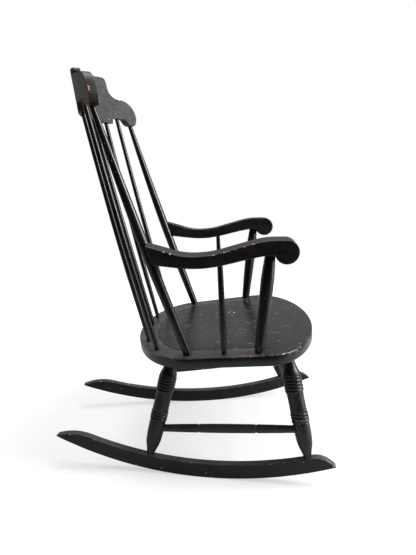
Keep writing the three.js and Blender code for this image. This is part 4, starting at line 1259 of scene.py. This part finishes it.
for vertex in seat.data.vertices:
    if abs(vertex.co.z) < WELD:
        vertex.co.z -= hollow_depth_at(vertex.co.x, vertex.co.y)
line = groove_line()
cut_with(seat, groove_cutter(line))
shade_smooth(seat, SEAT_CREASE)
print("seat plank:", len(seat.data.polygons), "faces")

# %% [markdown]
# The seat slopes down to the rear. Its rim is rubbed thin behind the sitter, and its pale brown
# there is partly painted warm reflection. The rest of the top has faded. The cut line's edges are
# sharp but lie too low to be rubbed, so the wear that would be put there is taken off again. Points
# by the line are found before the seat is tilted.

# %% Placing and wearing the seat
GROOVE_CLEARANCE = 3 * MM
# how far the normal of a worn top points up, at least
TOP = 0.5
# what the attribute says on a faded face, and on the crest rail's front, where it gives a painted sheen
FADED_AND_SHEEN_MARK = 0.5

plank = np.array([tuple(vertex.co) for vertex in seat.data.vertices])
to_line = np.linalg.norm(plank[:, None, :2] - np.array(line)[None], axis=2).min(axis=1)
by_groove = (to_line <= GROOVE_CLEARANCE) & (plank[:, 2] >= -SEAT_TOP_ROUND)
rim_faces = {face.index for face in seat.data.polygons if on_rim(face.center)}
pitched = Matrix.Rotation(-SEAT_PITCH, 4, "X")
settle(seat, Matrix.Translation((0, SEAT_SETBACK, SEAT_HEIGHT)) @ pitched)
hand_in(
    seat, "seat", paint="seat",
    wear_and_painted_light=lambda face: 1 if face.index in rim_faces else FADED_AND_SHEEN_MARK * (face.normal.z > TOP),
)
clear_wear(seat, by_groove)
print("faces rubbed thin on the seat's rim:", len(rim_faces))

# %% [markdown]
# The crest rail is sawn from a board and bent like a bow, so that it takes the sitter's shoulders.
# Its middle is raised and its ends are rounded ears. The two ends differ a little, as on the real
# rail, so each half's outline has its own marks, and a smooth curve is laid through them.

# %% Crest rail outline
CREST_THICKNESS = 24 * MM
CREST_LEFT_HEIGHT = 132 * MM
CREST_RIGHT_HEIGHT = 104 * MM
CREST_WIDTH = 555 * MM
CREST_RISER_WIDTH = 286 * MM
CREST_NOTCH_HEIGHT = 18 * MM
CREST_EAR_HEIGHT = 77 * MM
# share of half the raised middle's width, share of its rise above the ears
CREST_SHOULDER_SHARES = [
    (0.97, 1), (1.02, 0.985), (1.065, 0.93), (1.1, 0.72), (1.12, 0.4), (1.19, 0.2), (1.3, 0.06), (1.45, 0),
]
# share of half the rail's width, share of the ear's height: the right ear is the fuller one
CREST_EAR_SHARES = {
    "left": [
        (0.85, 1), (0.918, 0.9), (0.974, 0.7), (1, 0.42), (0.992, 0.23), (0.968, 0.08), (0.92, 0),
        (0.865, 0.055), (0.828, 0.2), (0.8, 0.25),
    ],
    "right": [
        (0.85, 1), (0.915, 0.965), (0.968, 0.8), (1, 0.42), (0.997, 0.21), (0.98, 0.06), (0.935, 0),
        (0.865, 0.055), (0.828, 0.2), (0.8, 0.29),
    ],
}
CREST_NOTCH_SHARES = (0.583, 0.563)


def through_points(points, per_gap=5):
    """A smooth curve through points in a plane, which may turn back."""
    curve = []
    for i in range(len(points) - 1):
        before, start = points[max(0, i - 1)], points[i]
        end, after = points[i + 1], points[min(len(points) - 1, i + 2)]
        for step in range(per_gap):
            t = step / per_gap
            curve.append(tuple(
                0.5 * (
                    2 * s + (e - b) * t
                    + (2 * b - 5 * s + 4 * e - a) * t**2 + (3 * s - b - 3 * e + a) * t**3
                )
                for b, s, e, a in zip(before, start, end, after)
            ))
    return curve + [tuple(points[-1])]


def crest_half(side, corner_height, middle_height):
    """From the middle of the top edge round one end to the middle of the lower edge."""
    half, riser = CREST_WIDTH / 2, CREST_RISER_WIDTH / 2
    rise = corner_height - CREST_EAR_HEIGHT
    shoulder = [(x * riser, CREST_EAR_HEIGHT + share * rise) for x, share in CREST_SHOULDER_SHARES]
    ear = [(x * half, share * CREST_EAR_HEIGHT) for x, share in CREST_EAR_SHARES[side]]
    notch_out, notch_in = (share * half for share in CREST_NOTCH_SHARES)
    return [
        (0, middle_height),
        *through_points([*shoulder, *ear]),
        (notch_out, CREST_NOTCH_HEIGHT),
        (notch_in, 0),
        (0, 0),
    ]


middle_height = (CREST_LEFT_HEIGHT + CREST_RIGHT_HEIGHT) / 2
left_half = crest_half("left", CREST_LEFT_HEIGHT, middle_height)
right_half = [(-x, rise) for x, rise in crest_half("right", CREST_RIGHT_HEIGHT, middle_height)]
crest_line = left_half[1:] + right_half[-2::-1]
print("the crest rail's outline has", len(crest_line), "points")

# %% [markdown]
# The board is cut into narrow strips first, because only narrow faces can follow a bend. The rear
# top edge of the raised middle is rounder than the others. A bevel so wide would overlap itself
# on the shoulders' short faces, so the board is sliced there and its points are moved to the round.

# %% Sawing the crest rail and rounding its top
CREST_STRIPS = 44
# in shares of half the width: no cuts beyond the first, or where the outline is steep
CREST_LAST_STRIP = 0.88
CREST_STEEP = (0.53, 0.6)
CREST_EASE = 2.2 * MM
CREST_TOP_ROUND = 9 * MM
CREST_ROUND_STEPS = 4
# to each side, as a share of the raised middle's width
CREST_ROUND_REACH = 0.6
CREST_CORNER = 20 * MM


def slice_all(place, normal):
    """Cuts the mesh in edit mode along a plane and keeps both sides."""
    bpy.ops.mesh.select_all(action="SELECT")
    bpy.ops.mesh.bisect(plane_co=place, plane_no=normal)


crest = saw_to_line("crest_board", crest_line, CREST_THICKNESS)
bpy.ops.object.mode_set(mode="EDIT")
for strip in range(1, CREST_STRIPS):
    share = 2 * strip / CREST_STRIPS - 1
    if abs(share) < CREST_LAST_STRIP and not CREST_STEEP[0] < abs(share) < CREST_STEEP[1]:
        slice_all((share * CREST_WIDTH / 2, 0, 0), (1, 0, 0))
for step in range(CREST_ROUND_STEPS):
    turn = math.pi / 2 * step / CREST_ROUND_STEPS
    slice_all((0, 0, CREST_THICKNESS - CREST_TOP_ROUND * (1 - math.sin(turn))), (0, 0, 1))
bpy.ops.object.mode_set(mode="OBJECT")
for vertex in crest.data.vertices:
    x, rise, depth = vertex.co
    over = depth - CREST_THICKNESS + CREST_TOP_ROUND
    fade = min(1, max(0, rise - CREST_EAR_HEIGHT) / CREST_TOP_ROUND)
    if over > 0 and fade > 0 and abs(x) < CREST_RISER_WIDTH * CREST_ROUND_REACH:
        corner_height = CREST_LEFT_HEIGHT if x > 0 else CREST_RIGHT_HEIGHT
        corner_x = math.copysign(CREST_RISER_WIDTH / 2 - CREST_CORNER, x)
        inwards = Vector((0, -1, 0))
        if abs(x) > abs(corner_x):
            inwards = Vector((corner_x - x, corner_height - CREST_CORNER - rise, 0)).normalized()
        fall = CREST_TOP_ROUND - math.sqrt(max(0, CREST_TOP_ROUND**2 - over**2))
        vertex.co += inwards * fall * fade
ease_edges(crest, CREST_EASE)
print("crest board:", len(crest.data.polygons), "faces")

# %% [markdown]
# The real rail was steamed and bent. Here every point is carried from the flat board to an upright
# cylinder and leant to the rear. What was height and depth on the board changes places with it,
# which turns the faces inside out, so they are flipped afterwards.

# %% Bending the crest rail
CREST_RADIUS = 508 * MM
CREST_LEAN = math.radians(8.5)
# how far a face's normal points to the rear, on the back, which is rubbed and partly painted warm
# light, and on the front, which gets a painted sheen
CREST_BACK = 0.3
CREST_FRONT = -0.75

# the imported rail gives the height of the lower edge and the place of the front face
corners = [vertex.co for vertex in nodes["crest_rail"].data.vertices]
crest_low = min(corner.z for corner in corners)
face_y = min(corner.y for corner in corners if abs(corner.x) < MM and corner.z < crest_low + MM)
for vertex in crest.data.vertices:
    x, rise, depth = vertex.co
    turn = math.asin(x / CREST_RADIUS)
    radius = CREST_RADIUS + depth
    y = radius * math.cos(turn) - CREST_RADIUS + rise * math.tan(CREST_LEAN)
    vertex.co = (radius * math.sin(turn), face_y + y, crest_low + rise)
take(crest)
bpy.ops.object.mode_set(mode="EDIT")
bpy.ops.mesh.select_all(action="SELECT")
bpy.ops.mesh.flip_normals()
bpy.ops.object.mode_set(mode="OBJECT")
smooth_over(crest)
# the back gets rubbed paint with painted warm light, and the front a grey painted sheen
hand_in(
    crest, "crest_rail", paint="crest",
    wear_and_painted_light=lambda face: max(face.normal.y > CREST_BACK, FADED_AND_SHEEN_MARK * (face.normal.y < CREST_FRONT)),
)
print("crest rail:", len(crest.data.polygons), "faces, front face at y", round(face_y, 4))

# %% [markdown]
# An arm is sawn from a thick board. Seen from the side it dips behind the sitter's elbow, rises
# and rolls over in front into a scroll. The scroll is most of a circle, and the two long curves
# run smoothly into it.

# %% Arm outline
ARM_HEIGHT = 580 * MM
ARM_RISE = 69 * MM
ARM_SCROLL_RADIUS = 29 * MM
ARM_REACH = 353 * MM
ARM_SCROLL_STEPS = 36
# share of the reach from the post, share of the rise
ARM_TOP_SHARES = [
    (0.1, 0.62), (0.2, 0.475), (0.305, 0.43), (0.435, 0.5), (0.57, 0.69), (0.71, 0.895), (0.805, 0.985),
]
ARM_UNDER_SHARES = [
    (0.835, 0.455), (0.757, 0.43), (0.64, 0.3), (0.543, 0.175), (0.44, 0.06), (0.34, 0), (0.22, 0.01),
]
ARM_REAR_SHARES = (0.79, 0.12)
SCROLL_NOTCH_SHARE = 0.27


def arm_outline(rear_top, rear_under, rear_middle):
    """Round an arm in side view: y to the rear, and height above its underside."""
    scroll_y = rear_middle - ARM_REACH + ARM_SCROLL_RADIUS
    scroll_z = ARM_RISE - ARM_SCROLL_RADIUS
    top = [(rear_middle - share * ARM_REACH, rise * ARM_RISE) for share, rise in ARM_TOP_SHARES]
    under = [(rear_middle - share * ARM_REACH, rise * ARM_RISE) for share, rise in ARM_UNDER_SHARES]
    points = through_points([rear_top, *top, (scroll_y, ARM_RISE)])
    sweep = 1.5 * math.pi - math.asin(SCROLL_NOTCH_SHARE)
    for step in range(1, ARM_SCROLL_STEPS + 1):
        turn = math.pi / 2 + sweep * step / ARM_SCROLL_STEPS
        y = scroll_y + ARM_SCROLL_RADIUS * math.cos(turn)
        points.append((y, scroll_z + ARM_SCROLL_RADIUS * math.sin(turn)))
    return points + through_points([*under, rear_under])


print("a scroll has", ARM_SCROLL_STEPS, "steps")

# %% [markdown]
# The arm's rear end has to meet its post, which swells, bows and leans. So the end is worked out
# from the post's own sizes, and bites a little into it, as the real end is hollowed to fit. The
# sawn board is then stood on its edge and tipped outwards a little.

# %% Arms
ARM_WIDTH = 55 * MM
ARM_SPREAD = 541 * MM
ARM_ROLL = math.radians(2.5)
ARM_EASE = 3 * MM
ARM_EASE_STEPS = 4
# in mm, how deep the post bites into the arm's rear end
ARM_BITE = 4
ARM_REAR_SPARED = 14 * MM

post_base, post_head = between_ends("back_post_left", *POST_TENONS)
post_rise, post_run = post_head.z - post_base.z, post_head.y - post_base.y
post_lean = math.atan(post_run / post_rise)
bedding = (max(radius for _, radius in POST_MARKS) - ARM_BITE) * MM


def arm_rear_at(rise):
    """Where the arm's rear end meets its post, at a height above the underside."""
    share = (ARM_HEIGHT + rise - post_base.z) / post_rise
    bowed_y = post_base.y + post_run * share + POST_BOW * math.sin(math.pi * share) / math.cos(post_lean)
    return bowed_y - bedding / math.cos(post_lean)


rear_top, rear_under = [(arm_rear_at(share * ARM_RISE), share * ARM_RISE) for share in ARM_REAR_SHARES]
arm_line = arm_outline(rear_top, rear_under, arm_rear_at(ARM_RISE / 2))
for side, sign in SIDES.items():
    name = f"arm_{side}"
    arm = saw_to_line(f"sawn_{name}", arm_line, ARM_WIDTH)
    ease_edges(arm, ARM_EASE, segments=ARM_EASE_STEPS)
    smooth_over(arm)
    tilted = Vector((sign * math.sin(ARM_ROLL), 0, math.cos(ARM_ROLL)))
    through = REARWARD.cross(tilted)
    start = Vector((sign * ARM_SPREAD / 2, 0, ARM_HEIGHT)) - through * (ARM_WIDTH / 2)
    settle(arm, axes_at(start, REARWARD, tilted, through))
    hand_in(arm, name, paint="arm", wear_and_painted_light=lambda face: float(face.normal.z > TOP))
    clear_wear(arm, [vertex.co.y > rear_under[0] - ARM_REAR_SPARED for vertex in arm.data.vertices])
reach = sorted(round(y, 4) for y, _ in arm_line)
print("arms reach from y", reach[0], "to", reach[-1])

# %% [markdown]
# The small fastenings are turned too: pegs through the rockers and pins in the crest's face.
# Their ends are a little domed, as cut and sanded wood is.

# %% Pegs and pins
PEG_RADIUS = 2.6 * MM
PIN_RADIUS = 2 * MM
DOME = 0.35 * MM
SMALL_STEPS = 24
# shares of the peg's radius, of the rim's radius and of the dome's height
DOME_RIM = 0.85
DOME_TOP = 0.7
DOME_SHOULDER = 0.4


def domed_peg(name, radius, length):
    """A short peg with a domed end at each side."""
    rim, shoulder = radius * DOME_RIM, DOME * DOME_SHOULDER
    outline = [
        (0, 0), (0, rim * DOME_TOP), (shoulder, rim), (DOME, radius),
        (length - DOME, radius), (length - shoulder, rim), (length, rim * DOME_TOP), (length, 0),
    ]
    piece = turn_on_lathe(name, outline, SMALL_STEPS)
    shade_smooth(piece, TURNED_ANGLE)
    return piece


peg_length = ROCKER_THICKNESS + DOME
for row in BEAD_RAISE:
    for side, sign in SIDES.items():
        name = f"{row}_foot_peg_{side}"
        low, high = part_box(name)
        through = Vector((-sign * math.sin(toe_in), math.cos(toe_in), 0)).cross(UP)
        peg = domed_peg(f"turned_{name}", PEG_RADIUS, peg_length)
        settle(peg, frame_of((low + high) / 2 - through * (peg_length / 2), through, UP))
        hand_in(peg, name, bends=PLAIN_BENDS)

for side in SIDES:
    name = f"crest_pin_{side}"
    face, inner = sorted(ends_of(name), key=lambda point: point.y)
    inwards = (inner - face).normalized()
    pin = domed_peg(f"turned_{name}", PIN_RADIUS, (inner - face).length + DOME)
    settle(pin, frame_of(face - inwards * DOME, inwards, UP))
    hand_in(pin, name, slot="bare_wood", paint="pin")
print("pegs are", round(1000 * peg_length, 2), "mm long, and two pins are in the crest rail")

# %% [markdown]
# A screw from behind holds each arm to its post. It is turned like a peg, with a wide head, and a
# flat box cuts the slot. Its thread is hidden in the wood, so the shank is plain.

# %% Screws
SCREW_HEAD_RADIUS = 4.4 * MM
SCREW_HEAD_THICKNESS = 3 * MM
SCREW_SHANK_RADIUS = 2.3 * MM
SCREW_CREASE = math.radians(35)
# shares of the head's and the shank's radius that their ends keep
SCREW_END_SHARE = 0.8
SLOT_WIDTH = 1.1 * MM
SLOT_DEPTH = 1.2 * MM

for side in SIDES:
    name = f"arm_screw_{side}"
    tip, head = sorted(ends_of(name), key=lambda point: point.y)
    length = (tip - head).length
    outline = [
        (0, 0), (0, SCREW_HEAD_RADIUS * SCREW_END_SHARE), (DOME, SCREW_HEAD_RADIUS),
        (SCREW_HEAD_THICKNESS / 3, SCREW_HEAD_RADIUS), (SCREW_HEAD_THICKNESS, SCREW_SHANK_RADIUS),
        (length, SCREW_SHANK_RADIUS * SCREW_END_SHARE), (length, 0),
    ]
    screw = turn_on_lathe(f"turned_{name}", outline, SMALL_STEPS)
    deselect_all()
    bpy.ops.mesh.primitive_cube_add(size=1, location=(0, 0, 0))
    slot_cutter = bpy.context.object
    slot_cutter.dimensions = (4 * SCREW_HEAD_RADIUS, SLOT_WIDTH, 2 * SLOT_DEPTH)
    bpy.ops.object.transform_apply(location=False, rotation=False, scale=True)
    cut_with(screw, slot_cutter)
    shade_smooth(screw, SCREW_CREASE)
    settle(screw, frame_of(head, tip - head, UP))
    hand_in(screw, name, slot="steel", paint="screw")
print("screws are", round(1000 * length, 1), "mm long")
